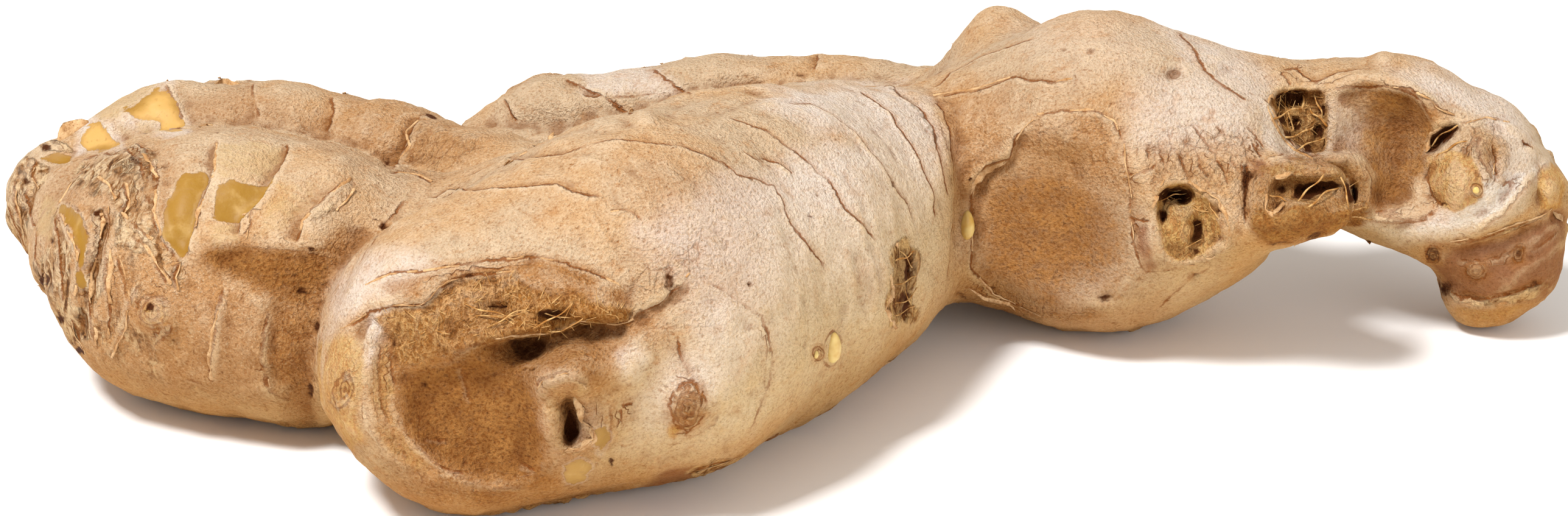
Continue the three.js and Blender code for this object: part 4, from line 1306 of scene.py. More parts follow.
# %% The hollows and ridges at two sizes, the undersides, and the sides turned from the key light, where shade and highlights are painted
edges = np.empty(len(skin.mesh.edges) * 2, np.int64)
skin.mesh.edges.foreach_get("vertices", edges)
edges = edges.reshape(-1, 2)
neighbours = np.bincount(edges.ravel(), minlength=len(skin.points))


def evened(values, rounds):
    """Values averaged with their neighbours on the skin, some rounds."""
    for _ in range(rounds):
        total = np.zeros_like(values)
        for axis in range(values.shape[1]):
            total[:, axis] = np.bincount(edges[:, 0], values[edges[:, 1], axis], len(values))
            total[:, axis] += np.bincount(edges[:, 1], values[edges[:, 0], axis], len(values))
        values = 0.5 * values + 0.5 * total / neighbours[:, None]
    return values


near_mean = evened(skin.points, 8)
far_mean = evened(near_mean, 70)
hollow_small = ((near_mean - skin.points) * skin.normals).sum(1)
hollow_large = ((far_mean - skin.points) * skin.normals).sum(1)
# Undersides near the table, where shade is painted.
under = smoothstep(0.1, -0.6, skin.normals[:, 2]) * smoothstep(26, 4, skin.points[:, 2])
# The direction of the key light. The sides turned away from it get painted shade, warmer and darker.
KEY_LIGHT_FROM = np.array([-0.36, -0.36, 0.86])
key_shade = smoothstep(0.75, -0.25, evened(skin.normals, 20) @ KEY_LIGHT_FROM)
for name, values in {"small": hollow_small, "large": hollow_large}.items():
    print("depth of", name, "hollows", np.percentile(values, [5, 50, 95]).round(3))

# %% Write the skin's mesh and what the colours need to know
MEASURES = {
    "line_offset": lines.offset,
    "line_strength": lines.strength,
    "scar_and_shade": scar_and_shade,
    "torn": torn,
    "bark": bark,
    "pale_and_highlit": pale_and_highlit,
    "warm": warm,
    "film": film,
    "flesh_inside": flesh_inside,
    "stain_and_shade": stain_and_shade,
    "hollow_small": hollow_small,
    "hollow_large": hollow_large,
    "under": under,
    "key_shade": key_shade,
    "pink": pink,
    "straw": straw,
    "circle_out": circle_out,
}
for name, values in MEASURES.items():
    layer = skin.mesh.attributes.new(name, "FLOAT", "POINT")
    layer.data.foreach_set("value", values.astype(np.float32))
grain = skin.mesh.attributes.new("grain", "FLOAT_VECTOR", "POINT")
grain_place = np.stack([along, around, finger * FINGER_APART], axis=1)
grain.data.foreach_set("vector", grain_place.astype(np.float32).ravel())

# %% Thin out the back and the underside, where less shows
TRIANGLES = 194000
root_skin = bpy.data.objects.new("ginger_root_skin", skin.mesh)
bpy.context.scene.collection.objects.link(root_skin)
out_of_sight = root_skin.vertex_groups.new(name="out_of_sight")
out_of_sight.add(np.flatnonzero(~skin.seen).tolist(), 1.0, "REPLACE")
thin = root_skin.modifiers.new("thin", "DECIMATE")
thin.ratio = TRIANGLES / (2 * len(skin.mesh.polygons))
thin.vertex_group = "out_of_sight"
thinned = root_skin.evaluated_get(bpy.context.evaluated_depsgraph_get())
finished = bpy.data.meshes.new_from_object(thinned)
root_skin.modifiers.clear()
root_skin.vertex_groups.clear()
root_skin.data = finished
finished.polygons.foreach_set("use_smooth", np.ones(len(finished.polygons), bool))
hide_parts("ginger_root")
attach(root_skin, "root")
triangles = sum(len(face.vertices) - 2 for face in finished.polygons)
print("finished skin has", len(finished.vertices), "points and", triangles, "triangles")

# %% [markdown]
# ## A small kit for materials
# A material is a sum: this colour where that mask is high, a little darker where the noise is low.


# %% The material kit
class Value:
    """A value inside a material. Sums and products of values make new nodes."""

    def __init__(self, material, socket):
        self.material = material
        self.socket = socket

    def sum_with(self, operation, first, second):
        return self.material.node("ShaderNodeMath", {"operation": operation}, {0: first, 1: second})

    def __add__(self, other):
        return self.sum_with("ADD", self, other)

    def __sub__(self, other):
        return self.sum_with("SUBTRACT", self, other)

    def __mul__(self, other):
        return self.sum_with("MULTIPLY", self, other)

    def __rsub__(self, other):
        return self.sum_with("SUBTRACT", other, self)

    __radd__ = __add__
    __rmul__ = __mul__

    def __abs__(self):
        return self.sum_with("ABSOLUTE", self, 0.0)

    def step(self, low, high):
        """0 below low and 1 above high, with a soft step between. It may also run downwards."""
        flip = low > high
        settings = {"interpolation_type": "SMOOTHSTEP"}
        inputs = {"Value": self, "From Min": min(low, high), "From Max": max(low, high)}
        inputs["To Min"], inputs["To Max"] = (1.0, 0.0) if flip else (0.0, 1.0)
        return self.material.node("ShaderNodeMapRange", settings, inputs)

    def blend(self, low_colour, high_colour, way="MIX"):
        """Mixes two colours: the first where this is 0, the second where it is 1."""
        settings = {"data_type": "RGBA", "blend_type": way, "clamp_factor": True}
        return self.material.node("ShaderNodeMix", settings, {0: self, 6: low_colour, 7: high_colour}, 2)


LIT = 1.28


def tone(red, green, blue, lit=LIT):
    """The paint for a colour that is to look like these 0 to 255 numbers under light of strength `lit`."""
    parts = np.array([red, green, blue]) / 255
    linear = np.where(parts <= 0.04045, parts / 12.92, ((parts + 0.055) / 1.055) ** 2.4)
    return (*(linear / lit), 1.0)


class Material:
    """One material's nodes, with places in millimetres."""

    def __init__(self, name):
        self.made = bpy.data.materials.new(name)
        self.made.use_nodes = True
        self.tree = self.made.node_tree
        self.tree.nodes.clear()
        object_place = self.node("ShaderNodeTexCoord", out="Object")
        self.place = self.node(
            "ShaderNodeVectorMath", {"operation": "SCALE"}, {0: object_place, "Scale": 1 / MM}
        )

    def node(self, kind, settings=None, inputs=None, out=0):
        """Adds a node: first its settings, then its inputs, which are constants or other values."""
        made = self.tree.nodes.new(kind)
        for name, setting in (settings or {}).items():
            setattr(made, name, setting)
        for name, value in (inputs or {}).items():
            if isinstance(value, Value):
                self.tree.links.new(made.inputs[name], value.socket)
            else:
                made.inputs[name].default_value = value
        return Value(self, made.outputs[out] if made.outputs else None)

    def measure(self, name, out="Fac"):
        """What was measured on the skin under this name."""
        return self.node("ShaderNodeAttribute", {"attribute_name": name}, out=out)

    def stretched(self, vector, factors):
        return self.node("ShaderNodeVectorMath", {"operation": "MULTIPLY"}, {0: vector, 1: factors})

    def noise(self, size, detail=3.0, seed=0, at=None, out="Fac"):
        """Smooth noise from about 0.2 to 0.8, in blots `size` millimetres across."""
        shift = (seed * 37.1, seed * 17.3, seed * 91.7)
        moved = self.node("ShaderNodeVectorMath", {"operation": "ADD"}, {0: at or self.place, 1: shift})
        inputs = {"Vector": moved, "Scale": 1.0 / size, "Detail": detail, "Roughness": 0.6}
        return self.node("ShaderNodeTexNoise", None, inputs, out)

    def warped(self, vector, size, amount, seed):
        """A place shifted by up to about `amount` millimetres, so that patterns on it wander."""
        shift = self.noise(size, 2.0, seed, out="Color")
        shift = self.node("ShaderNodeVectorMath", {"operation": "SUBTRACT"}, {0: shift, 1: (0.5, 0.5, 0.5)})
        shift = self.node("ShaderNodeVectorMath", {"operation": "SCALE"}, {0: shift, "Scale": 2.0 * amount})
        return self.node("ShaderNodeVectorMath", {"operation": "ADD"}, {0: vector, 1: shift})

    def dots(self, size, at=None):
        """The distance to the nearest of many scattered points, in units of `size` millimetres."""
        inputs = {"Vector": at or self.place, "Scale": 1.0 / size, "Randomness": 1.0}
        return self.node("ShaderNodeTexVoronoi", None, inputs)

    def bump(self, height, depth, under=None):
        """Fine relief from a height between 0 and 1, `depth` millimetres high."""
        inputs = {"Height": height, "Distance": depth * MM, "Strength": 1.0}
        if under is not None:
            inputs["Normal"] = under
        return self.node("ShaderNodeBump", None, inputs)

    def surface(self, constants, varying):
        """A Principled surface from constants and varying inputs."""
        return self.node("ShaderNodeBsdfPrincipled", None, {**constants, **varying})

    def show(self, shader):
        self.node("ShaderNodeOutputMaterial", None, {"Surface": shader})
        return self.made


# %% [markdown]
# ## The skin's finish
# Ginger skin is a thin dry cork. It scatters light softly and hardly shines. Its colour is built in
# layers: a tan ground with warm and pinkish drifts, fine dark specks and lengthwise streaks, then scars,
# bark, dark ring lines and stains, and painted shade in hollows, holes, creases, undersides and on the
# sides turned from the key light, with painted highlights on ridges. Bare flesh is wet and fibrous, so
# it's a second surface, mixed in where the skin is missing.

# %% The skin's ground colour
ginger = Material("ginger_skin_and_flesh")
grain_place = ginger.measure("grain", "Vector")
wandering = ginger.warped(grain_place, 4.0, 2.0, 20)
streaks = ginger.noise(1.0, 3.0, 1, ginger.stretched(wandering, (0.3, 1.1, 1.0)))
drift = ginger.noise(16.0, 2.0, 3)
blots = ginger.noise(2.6, 4.0, 4)
specks = ginger.noise(0.6, 3.0, 5)
powder = ginger.noise(0.24, 2.0, 6)
waves = ginger.noise(1.0, 3.0, 7, ginger.stretched(wandering, (1.1, 0.3, 1.0)))

TAN = tone(217, 188, 154)
GOLD_TAN = tone(220, 178, 132)
LIGHT_TAN_AND_HIGHLIGHT = tone(240, 211, 176)
PINK_BEIGE_AND_HIGHLIGHT = tone(244, 227, 212)
WHITISH_AND_HIGHLIGHT = tone(242, 234, 228)
WARM_TAN = tone(200, 140, 80)
SPECK_BROWN = tone(162, 104, 52)
ground = drift.step(0.4, 0.62).blend(TAN, GOLD_TAN)
# The pale share also holds two painted highlights, which come out pinkish white.
ground = (ginger.measure("pale_and_highlit") * (0.45 + drift)).blend(ground, PINK_BEIGE_AND_HIGHLIGHT)
ground = ((ginger.measure("pale_and_highlit") - 1.0) * 4.0).blend(ground, WHITISH_AND_HIGHLIGHT)
ground = (ginger.measure("warm") * (0.3 + blots)).blend(ground, WARM_TAN)
ground = (blots.step(0.45, 0.75) * 0.5).blend(ground, LIGHT_TAN_AND_HIGHLIGHT)
ground = (blots.step(0.44, 0.25) * 0.55).blend(ground, WARM_TAN)
ground = (streaks.step(0.46, 0.30) * 0.3).blend(ground, WARM_TAN)
ground = (specks.step(0.42, 0.28) * 0.6).blend(ground, SPECK_BROWN)
pores = ginger.dots(2.2)
ground = (pores.step(0.09, 0.05) * drift.step(0.4, 0.55) * 0.8).blend(ground, SPECK_BROWN)
pepper = ginger.dots(1.0)
ground = (pepper.step(0.22, 0.12) * ginger.measure("warm") * blots.step(0.4, 0.6) * 0.7).blend(
    ground, SPECK_BROWN
)
ground = (powder.step(0.44, 0.30) * 0.5).blend(ground, SPECK_BROWN)
ground = (powder.step(0.55, 0.70) * 0.55).blend(ground, LIGHT_TAN_AND_HIGHLIGHT)
ground = (ginger.measure("pale_and_highlit") * 0.35).blend(ground, PINK_BEIGE_AND_HIGHLIGHT)
ground = ((ginger.measure("pale_and_highlit") - 1.0) * 1.8).blend(ground, WHITISH_AND_HIGHLIGHT)

# %% Scars, torn fibres, bark and rings, stains, and painted shade and highlights
PINK_BROWN = tone(170, 120, 88)
STRAW = tone(210, 152, 86)
STRAW_LIGHT = tone(228, 186, 118)
SCAR_AND_SHADE_BROWN = tone(166, 108, 50)
SCAR_LIGHT = tone(194, 136, 74)
CREVICE_SHADE_BROWN = tone(140, 84, 36)
SCAR_DARK = tone(118, 68, 26)
FIBRE_LIGHT = tone(226, 172, 112)
FIBRE_AND_SHADE_BROWN = tone(198, 134, 66)
FIBRE_DARK = tone(104, 58, 20)
BARK_BROWN = tone(164, 116, 70)
BARK_LIGHT = tone(236, 204, 162)
BARK_DARK = tone(82, 48, 20)
LINE_BROWN = tone(150, 86, 36)
LIP_LIGHT = tone(240, 212, 178)
STAIN_AND_SHADE_BROWN = tone(88, 44, 12)

# Scar colours, also painted as shade over the dent, the left finger's shaded side and the roll's underside.
scar_and_shade_mask = (ginger.measure("scar_and_shade") + (blots - 0.5) * 0.6 + (specks - 0.5) * 0.5).step(0.1, 0.95)
scar_and_shade_colour = blots.step(0.35, 0.65).blend(SCAR_AND_SHADE_BROWN, SCAR_LIGHT)
scar_and_shade_colour = (specks.step(0.48, 0.30) * 0.8).blend(scar_and_shade_colour, SCAR_DARK)
scar_and_shade_colour = (powder.step(0.55, 0.70) * 0.5).blend(scar_and_shade_colour, SCAR_LIGHT)
colour = (ginger.measure("pink") + (blots - 0.5) * 0.6).step(0.1, 0.9).blend(ground, PINK_BROWN)
colour = scar_and_shade_mask.blend(colour, scar_and_shade_colour)

tangle_place = ginger.warped(ginger.stretched(ginger.place, (1.2, 1.2, 0.45)), 2.0, 1.0, 21)
tangle = abs(ginger.noise(0.9, 4.0, 8, tangle_place) - 0.5)
torn_mask = (ginger.measure("torn") + (blots - 0.5) * 0.9 + (specks - 0.5) * 0.6).step(0.15, 0.9)
torn_colour = tangle.step(0.10, 0.0).blend(FIBRE_AND_SHADE_BROWN, FIBRE_LIGHT)
torn_colour = (tangle.step(0.14, 0.28) * 0.55).blend(torn_colour, FIBRE_DARK)
torn_colour = (specks.step(0.45, 0.32) * 0.5).blend(torn_colour, FIBRE_DARK)
colour = (torn_mask * 0.85).blend(colour, torn_colour)

net_place = ginger.warped(ginger.stretched(ginger.place, (1.0, 1.0, 0.7)), 1.5, 0.6, 22)
net = ginger.node(
    "ShaderNodeTexVoronoi", {"feature": "DISTANCE_TO_EDGE"}, {"Vector": net_place, "Scale": 1 / 1.7}
)
netted = ginger.measure("torn").step(0.1, 0.4) * (1.0 - torn_mask)
colour = (net.step(0.06, 0.0) * netted * specks.step(0.3, 0.5) * 0.6).blend(colour, LINE_BROWN)

straw_colour = tangle.step(0.10, 0.0).blend(STRAW, STRAW_LIGHT)
straw_mask = (ginger.measure("straw") + (blots - 0.5) * 0.6).step(0.2, 0.8)
colour = (straw_mask * 0.85).blend(colour, straw_colour)

bark_mask = (ginger.measure("bark") + (blots - 0.5) * 1.0).step(0.3, 0.6)
bark_colour = waves.step(0.42, 0.58).blend(BARK_BROWN, BARK_LIGHT)
bark_colour = (waves.step(0.44, 0.36) * 0.9).blend(bark_colour, BARK_DARK)
bark_colour = (specks.step(0.46, 0.34) * 0.6).blend(bark_colour, BARK_DARK)
colour = bark_mask.blend(colour, bark_colour)

offset = ginger.measure("line_offset") + (streaks - 0.5) * 0.7 + (specks - 0.5) * 0.6
strength = ginger.measure("line_strength")
uneven = (strength * 1.5 + (blots - 0.5) * 1.2).step(0.2, 0.8)
# Painted shade: a brown band on the low side of each crease, where the skin drops.
drop_side_shade = offset.step(-1.3, -0.1) * offset.step(0.3, 0.0) * strength
colour = (drop_side_shade * 0.4).blend(colour, FIBRE_AND_SHADE_BROWN)
lip = offset.step(0.0, 0.2) * offset.step(0.8, 0.3) * strength
colour = (lip * 0.45).blend(colour, LIP_LIGHT)
ring_line = abs(offset).step(0.26, 0.06) * uneven
colour = (ring_line * 0.9).blend(colour, LINE_BROWN)

circle_out = ginger.measure("circle_out") + (blots - 0.5) * 0.35 + (specks - 0.5) * 0.3
turns = ginger.node("ShaderNodeMath", {"operation": "PINGPONG"}, {0: circle_out, 1: 0.16})
circle_line = turns.step(0.085, 0.03) * circle_out.step(1.05, 0.6)
colour = (circle_out.step(1.2, 0.5) * 0.35).blend(colour, STRAW)
colour = (circle_line * 0.7).blend(colour, LINE_BROWN)

dashes = waves.step(0.34, 0.28) * (1.0 - scar_and_shade_mask) * ginger.measure("warm")
colour = (dashes * 0.6).blend(colour, LINE_BROWN)

# Painted shade: small hollows are painted a saturated brown, darker where they are deeper.
small = ginger.measure("hollow_small")
crevice_shade = small.step(0.0, 0.14) * (0.5 + specks)
colour = (crevice_shade * 0.6).blend(colour, CREVICE_SHADE_BROWN)
# Painted shade: large hollows off the scars are painted brown.
colour = (ginger.measure("hollow_large").step(0.25, 1.8) * (1.0 - scar_and_shade_mask) * 0.5).blend(
    colour, SCAR_AND_SHADE_BROWN
)
# Painted highlight: convex ridges off the scars are painted light tan.
ridge_highlight = small.step(-0.02, -0.12) * blots.step(0.3, 0.55) * (1.0 - scar_and_shade_mask) * (1.0 - torn_mask * 0.5)
colour = (ridge_highlight * 0.45).blend(colour, LIGHT_TAN_AND_HIGHLIGHT)
# Painted shade: undersides near the table are painted brown.
colour = (ginger.measure("under") * 0.25).blend(colour, SCAR_AND_SHADE_BROWN)
# Painted shade: the sides turned from the key light are multiplied warmer and darker.
colour = ginger.measure("key_shade").blend(colour, (1.0, 0.86, 0.55, 1.0), "MULTIPLY")
grit = ginger.noise(0.36, 4.0, 9)
grittiness = 0.45 + 0.35 * ginger.measure("warm") + 0.5 * scar_and_shade_mask
colour = (grit.step(0.52, 0.34) * grittiness).blend(colour, (0.72, 0.58, 0.42, 1.0), "MULTIPLY")
colour = (grit.step(0.55, 0.72) * grittiness).blend(colour, (1.24, 1.20, 1.12, 1.0), "MULTIPLY")
# Real stains from the round marks, and painted shade in the cleft, the holes and the joins, all in dark
# brown.
stain_and_shade_mask = (ginger.measure("stain_and_shade") + (specks - 0.5) * 0.9).step(0.25, 0.8)
colour = stain_and_shade_mask.blend(colour, STAIN_AND_SHADE_BROWN)

# %% Bare flesh, and the surface of both
FLESH_YELLOW = tone(158, 114, 26)
FLESH_PALE = tone(207, 162, 88)
FLESH_CREAM = tone(214, 178, 112)
FILM_CREAM = tone(222, 188, 136)
FLESH_DEEP = tone(150, 104, 36)
flesh_inside = ginger.measure("flesh_inside") + (blots - 0.5) * 0.8 + (specks - 0.5) * 0.5
flesh_mask = flesh_inside.step(-0.08, 0.08)
flesh_colour = ginger.measure("pale_and_highlit").blend(FLESH_YELLOW, FLESH_PALE)
flesh_colour = (blots.step(0.5, 0.75) * 0.4).blend(flesh_colour, FLESH_CREAM)
flesh_colour = (specks.step(0.42, 0.30) * 0.4).blend(flesh_colour, FLESH_DEEP)
flesh_colour = (flesh_inside.step(0.6, 0.0) * 0.35).blend(flesh_colour, FLESH_DEEP)
film_mask = (ginger.measure("film") + (streaks - 0.5) * 1.6).step(0.2, 1.0)
colour = (film_mask * 0.55).blend(colour, FILM_CREAM)
flesh_edge = flesh_inside.step(-0.5, -0.15) * flesh_inside.step(0.0, -0.1)
colour = (flesh_edge * 0.5 * specks).blend(colour, LIP_LIGHT)

height = blots * 0.5 + specks * 0.5 + grit * (0.5 + grittiness)
height = height + net.step(0.1, 0.0) * netted * -0.3 + powder * 0.3 + waves * bark_mask * 1.2
height = height + tangle.step(0.2, 0.0) * torn_mask * 0.8
height = height + (lip * 0.35 - ring_line * 0.3) - flesh_mask * 0.3 - dashes * 0.3 - circle_line * 0.3
skin_normal = ginger.bump(height, 0.65)
SKIN_GLOW = {"Subsurface Weight": 0.05, "Subsurface Radius": (1.0, 0.5, 0.25), "Subsurface Scale": 0.001}
skin_surface = ginger.surface(
    {**SKIN_GLOW, "IOR": 1.45, "Specular IOR Level": 0.12},
    {"Base Color": colour, "Roughness": 0.9 - 0.2 * powder, "Normal": skin_normal}
)
flesh_normal = ginger.bump(blots * 0.5 + specks * 0.4, 0.15)
FLESH_GLOW = {"Subsurface Weight": 0.1, "Subsurface Radius": (1.0, 0.6, 0.2), "Subsurface Scale": 0.001}
wetness = {"Roughness": 0.45 + 0.3 * specks, "Coat Weight": 0.15 * specks}
flesh_surface = ginger.surface(
    {**FLESH_GLOW, "IOR": 1.4, "Specular IOR Level": 0.4, "Coat Roughness": 0.4},
    {"Base Color": flesh_colour, **wetness, "Normal": flesh_normal}
)
both = ginger.node("ShaderNodeMixShader", None, {0: flesh_mask, 1: skin_surface, 2: flesh_surface})
root_skin.data.materials.clear()
root_skin.data.materials.append(ginger.show(both))
print("the skin's material has", len(ginger.tree.nodes), "nodes")

# %% [markdown]
# ## Loose parts: papery flakes, fibres and buds
# Old scale leaves hang on as thin ragged flakes at the rings. Torn places are full of stiff pale fibres.
# A few young buds push through the skin, smooth and yellow. They are thin or tiny, so each kind is its
# own piece.

# %% A builder for small pieces
rng = np.random.default_rng(11)


def piece_of(name, points, faces, material, smooth=True):
    """Makes a piece of the root from points in millimetres."""
    mesh = bpy.data.meshes.new(name)
    mesh.from_pydata((np.asarray(points) * MM).tolist(), [], faces)
    mesh.polygons.foreach_set("use_smooth", np.full(len(mesh.polygons), smooth))
    made = bpy.data.objects.new(name, mesh)
    bpy.context.scene.collection.objects.link(made)
    made.data.materials.append(material)
    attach(made, "root")
    print(name, "has", len(points), "points")
    return made


def unit(vector):
    return vector / max(np.linalg.norm(vector), 1e-9)


def sheet_of(rows, thickness, points, faces):
    """Adds a thin closed sheet to points and faces, from a grid of places with a normal for each row."""
    first = len(points)
    high, wide = len(rows), len(rows[0][0])
    for side in (0.5, -0.5):
        for places, normal in rows:
            points.extend(place + side * thickness * normal for place in places)
    back = first + high * wide
    for r in range(high - 1):
        for c in range(wide - 1):
            a = first + r * wide + c
            b, d, e = a + 1, a + wide, a + wide + 1
            faces.append((a, b, e, d))
            faces.append(tuple(corner + back - first for corner in (a, d, e, b)))
    rim = [r * wide for r in range(high)] + [(high - 1) * wide + c for c in range(1, wide)]
    rim += [r * wide + wide - 1 for r in range(high - 2, -1, -1)] + [c for c in range(wide - 2, 0, -1)]
    for here, after in zip(rim, rim[1:] + rim[:1]):
        faces.append((first + here, first + after, back + after, back + here))


# %% Ragged papery edges along the rings and cracks
flake_points, flake_faces = [], []
PAPER_STEP = 0.3
PAPER_THICK = 0.07


def papery_edge(places, normals, width, seed):
    """Adds a ragged edge of dead skin along a line on the skin, broken where it has worn away."""
    places, normals = np.asarray(places), np.asarray(normals)
    gaps = np.linalg.norm(np.diff(places, axis=0), axis=1)
    if len(places) < 2 or gaps.max() > 3:
        return
    travelled = np.concatenate([[0], np.cumsum(gaps)])
    steps = np.arange(0, travelled[-1], PAPER_STEP)
    if len(steps) < 4:
        return
    spine = np.stack([np.interp(steps, travelled, places[:, k]) for k in range(3)], axis=1)
    facing = np.stack([np.interp(steps, travelled, normals[:, k]) for k in range(3)], axis=1)
    facing /= np.linalg.norm(facing, axis=1)[:, None]
    ahead_of = np.gradient(spine, axis=0)
    right_hand = np.cross(ahead_of, facing)
    right_hand /= np.maximum(np.linalg.norm(right_hand, axis=1), 1e-9)[:, None]
    along_line = np.stack([steps, np.full(len(steps), 7.0 * seed), np.zeros(len(steps))], axis=1)
    present = rough(along_line, 3.0, 400) > -0.12
    reach = width * np.clip(0.55 + 0.6 * rough(along_line, 1.2, 401, 2), 0.15, 1.3)
    lift = np.clip(0.15 + 0.5 * rough(along_line, 2.0, 402), 0.02, 0.7)
    wander = 0.22 * rough(along_line, 2.5, 403)
    rows = []
    for i in range(len(steps)):
        if present[i]:
            start = spine[i] + (0.12 + wander[i]) * right_hand[i] - 0.05 * facing[i]
            middle = start - 0.5 * reach[i] * right_hand[i] + (0.08 + 0.5 * lift[i] * reach[i]) * facing[i]
            edge = start - reach[i] * right_hand[i] + (0.08 + lift[i] * reach[i]) * facing[i]
            rows.append(([start, middle, edge], facing[i]))
        if (not present[i] or i == len(steps) - 1) and rows:
            if len(rows) > 2:
                sheet_of(rows, PAPER_THICK, flake_points, flake_faces)
            rows = []


PIT_RIM = [
    1914, 296, 1900, 310, 1889, 360, 1891, 395, 1902, 420, 1930, 438, 1965, 434, 1990, 424, 2012, 408,
    2020, 385, 2016, 350, 2002, 328, 1955, 296, 1932, 291,
]
VALLEY_RIM = [2104, 146, 2086, 158, 2082, 175, 2088, 194, 2100, 218, 2124, 246, 2158, 260]
STUB_RIM = [2120, 282, 2092, 290, 2080, 315, 2080, 345, 2092, 356, 2112, 334]
STUB_RIM_RIGHT = [2150, 340, 2205, 351, 2242, 340, 2242, 300, 2214, 280, 2170, 282]
SIDE_RIM = [1474, 398, 1460, 440, 1466, 474, 1454, 510, 1472, 542]
HOOK_RIM = [2402, 198, 2374, 200, 2350, 220, 2340, 252]
papery += [
    (PIT_RIM, 0.7, 201), (VALLEY_RIM, 0.8, 203), (STUB_RIM, 0.7, 205), (STUB_RIM_RIGHT, 0.8, 206),
    (SIDE_RIM, 0.8, 207), (HOOK_RIM, 0.8, 208),
]
for path, width, seed in papery:
    places, normals = on_skin(path)
    if len(places) > 1:
        papery_edge(places, normals, width, seed)
print("papery edges have", len(flake_points), "points")

# %% Loose flakes on the sides
CLEAR_OF_TABLE = 2.5
off_the_table = skin.points[:, 2] > CLEAR_OF_TABLE
near_lip = (np.abs(lines.offset) < 0.35) & (lines.strength > 0.45) & ~skin.seen & off_the_table
FLAKES = 260
for at in rng.choice(np.flatnonzero(near_lip), FLAKES, replace=False):
    normal, outward = skin.normals[at], lines.toward[at]
    outward = unit(outward - (outward @ normal) * normal)
    sideways = np.cross(normal, outward)
    length, width = rng.uniform(0.3, 0.8), rng.uniform(1.0, 3.0)
    lift = rng.uniform(0.08, 0.3)
    start = skin.points[at] - 0.15 * outward - 0.06 * normal
    rows = []
    for s in np.linspace(-0.5, 0.5, 8) * width:
        reach = length * (1 - (2 * s / width) ** 2) * rng.uniform(0.6, 1.2)
        base = start + sideways * s
        middle = base + 0.5 * reach * outward + 0.6 * lift * normal
        edge = base + reach * outward + lift * normal
        rows.append(([base, middle, edge], normal))
    sheet_of(rows, PAPER_THICK, flake_points, flake_faces)

# %% The large flakes: the curl beside the bulb's scar and the loose chip at the left tip
BIG_FLAKES = [
    ([1594, 320, 1596, 302, 1608, 284, 1628, 272, 1656, 263], (0.6, 0.6), 0.7, 0.5),
    ([96, 232, 108, 228, 146, 201], (-0.5, -1.0), 1.0, 1.4),
    ([352, 138, 366, 137, 380, 140, 394, 138], (0.0, -1.0), 0.4, 0.7),
    ([2552, 346, 2560, 350, 2568, 352], (0.3, 0.9), 0.8, 0.6),
    ([944, 652, 956, 664, 960, 680, 958, 694], (-0.6, 0.3), 0.5, 0.8),
    ([958, 694, 974, 704, 976, 722, 954, 738, 928, 742], (-0.5, -0.8), 1.0, 0.8),
    ([1590, 470, 1620, 488, 1660, 496, 1670, 514], (-0.3, 0.9), 0.6, 0.3),
]
for path, lean, length, lift in BIG_FLAKES:
    places, normals = on_skin(path)
    if len(places) < 3:
        continue
    outward = unit(lean[0] * rightward - lean[1] * upward)
    rows = []
    for r in range(5):
        reach = r / 4
        row = []
        for i, (place, normal) in enumerate(zip(places, normals)):
            middle = math.sin(math.pi * (i + 0.5) / len(places))
            out = unit(outward - (outward @ normal) * normal)
            stretch = reach * middle * (1 + 0.1 * rng.normal())
            row.append(place - 0.1 * normal + stretch * (length * out + lift * normal))
        rows.append((row, unit(normals.mean(0))))
    sheet_of(rows, 0.12, flake_points, flake_faces)

# %% Fibres in the torn places
fibre_points, fibre_faces = [], []
SIDES = 4


def tube(spine, radii, side, up):
    """Adds a closed tube along a spine, with a radius at each of its places."""
    first = len(fibre_points)
    turns = [2 * math.pi * k / SIDES for k in range(SIDES)]
    for place, radius in zip(spine, radii):
        fibre_points.extend(place + radius * (math.cos(turn) * side + math.sin(turn) * up) for turn in turns)
    last = len(fibre_points) - SIDES
    for start in range(first, last, SIDES):
        for k in range(SIDES):
            a, b = start + k, start + (k + 1) % SIDES
            fibre_faces.append((a, b, b + SIDES, a + SIDES))
    fibre_faces.append(tuple(first + k for k in reversed(range(SIDES))))
    fibre_faces.append(tuple(last + k for k in range(SIDES)))


FIBRES = 520
fibre_weight = np.where((torn > 0.5) & off_the_table, torn**3, 0) * np.where(skin.seen, 1.0, 0.2)
for at in rng.choice(len(skin.points), FIBRES, p=fibre_weight / fibre_weight.sum()):
    normal = skin.normals[at]
    heading = unit(np.cross(normal, rng.normal(size=3)) + 0.35 * direction[at])
    length = rng.uniform(0.6, 2.4)
    lift, sway = rng.uniform(0.0, 0.35), rng.normal(0, 0.5, 3)
    radius = rng.uniform(0.04, 0.08)
    steps = np.linspace(0, 1, 6)[:, None]
    arch = steps * (1.3 - steps) * lift * normal
    spine = skin.points[at] - 0.15 * normal + length * (steps * heading + arch + 0.35 * steps**2 * sway)
    tube(spine, radius * (1 - 0.6 * steps[:, 0]), np.cross(normal, heading), normal)

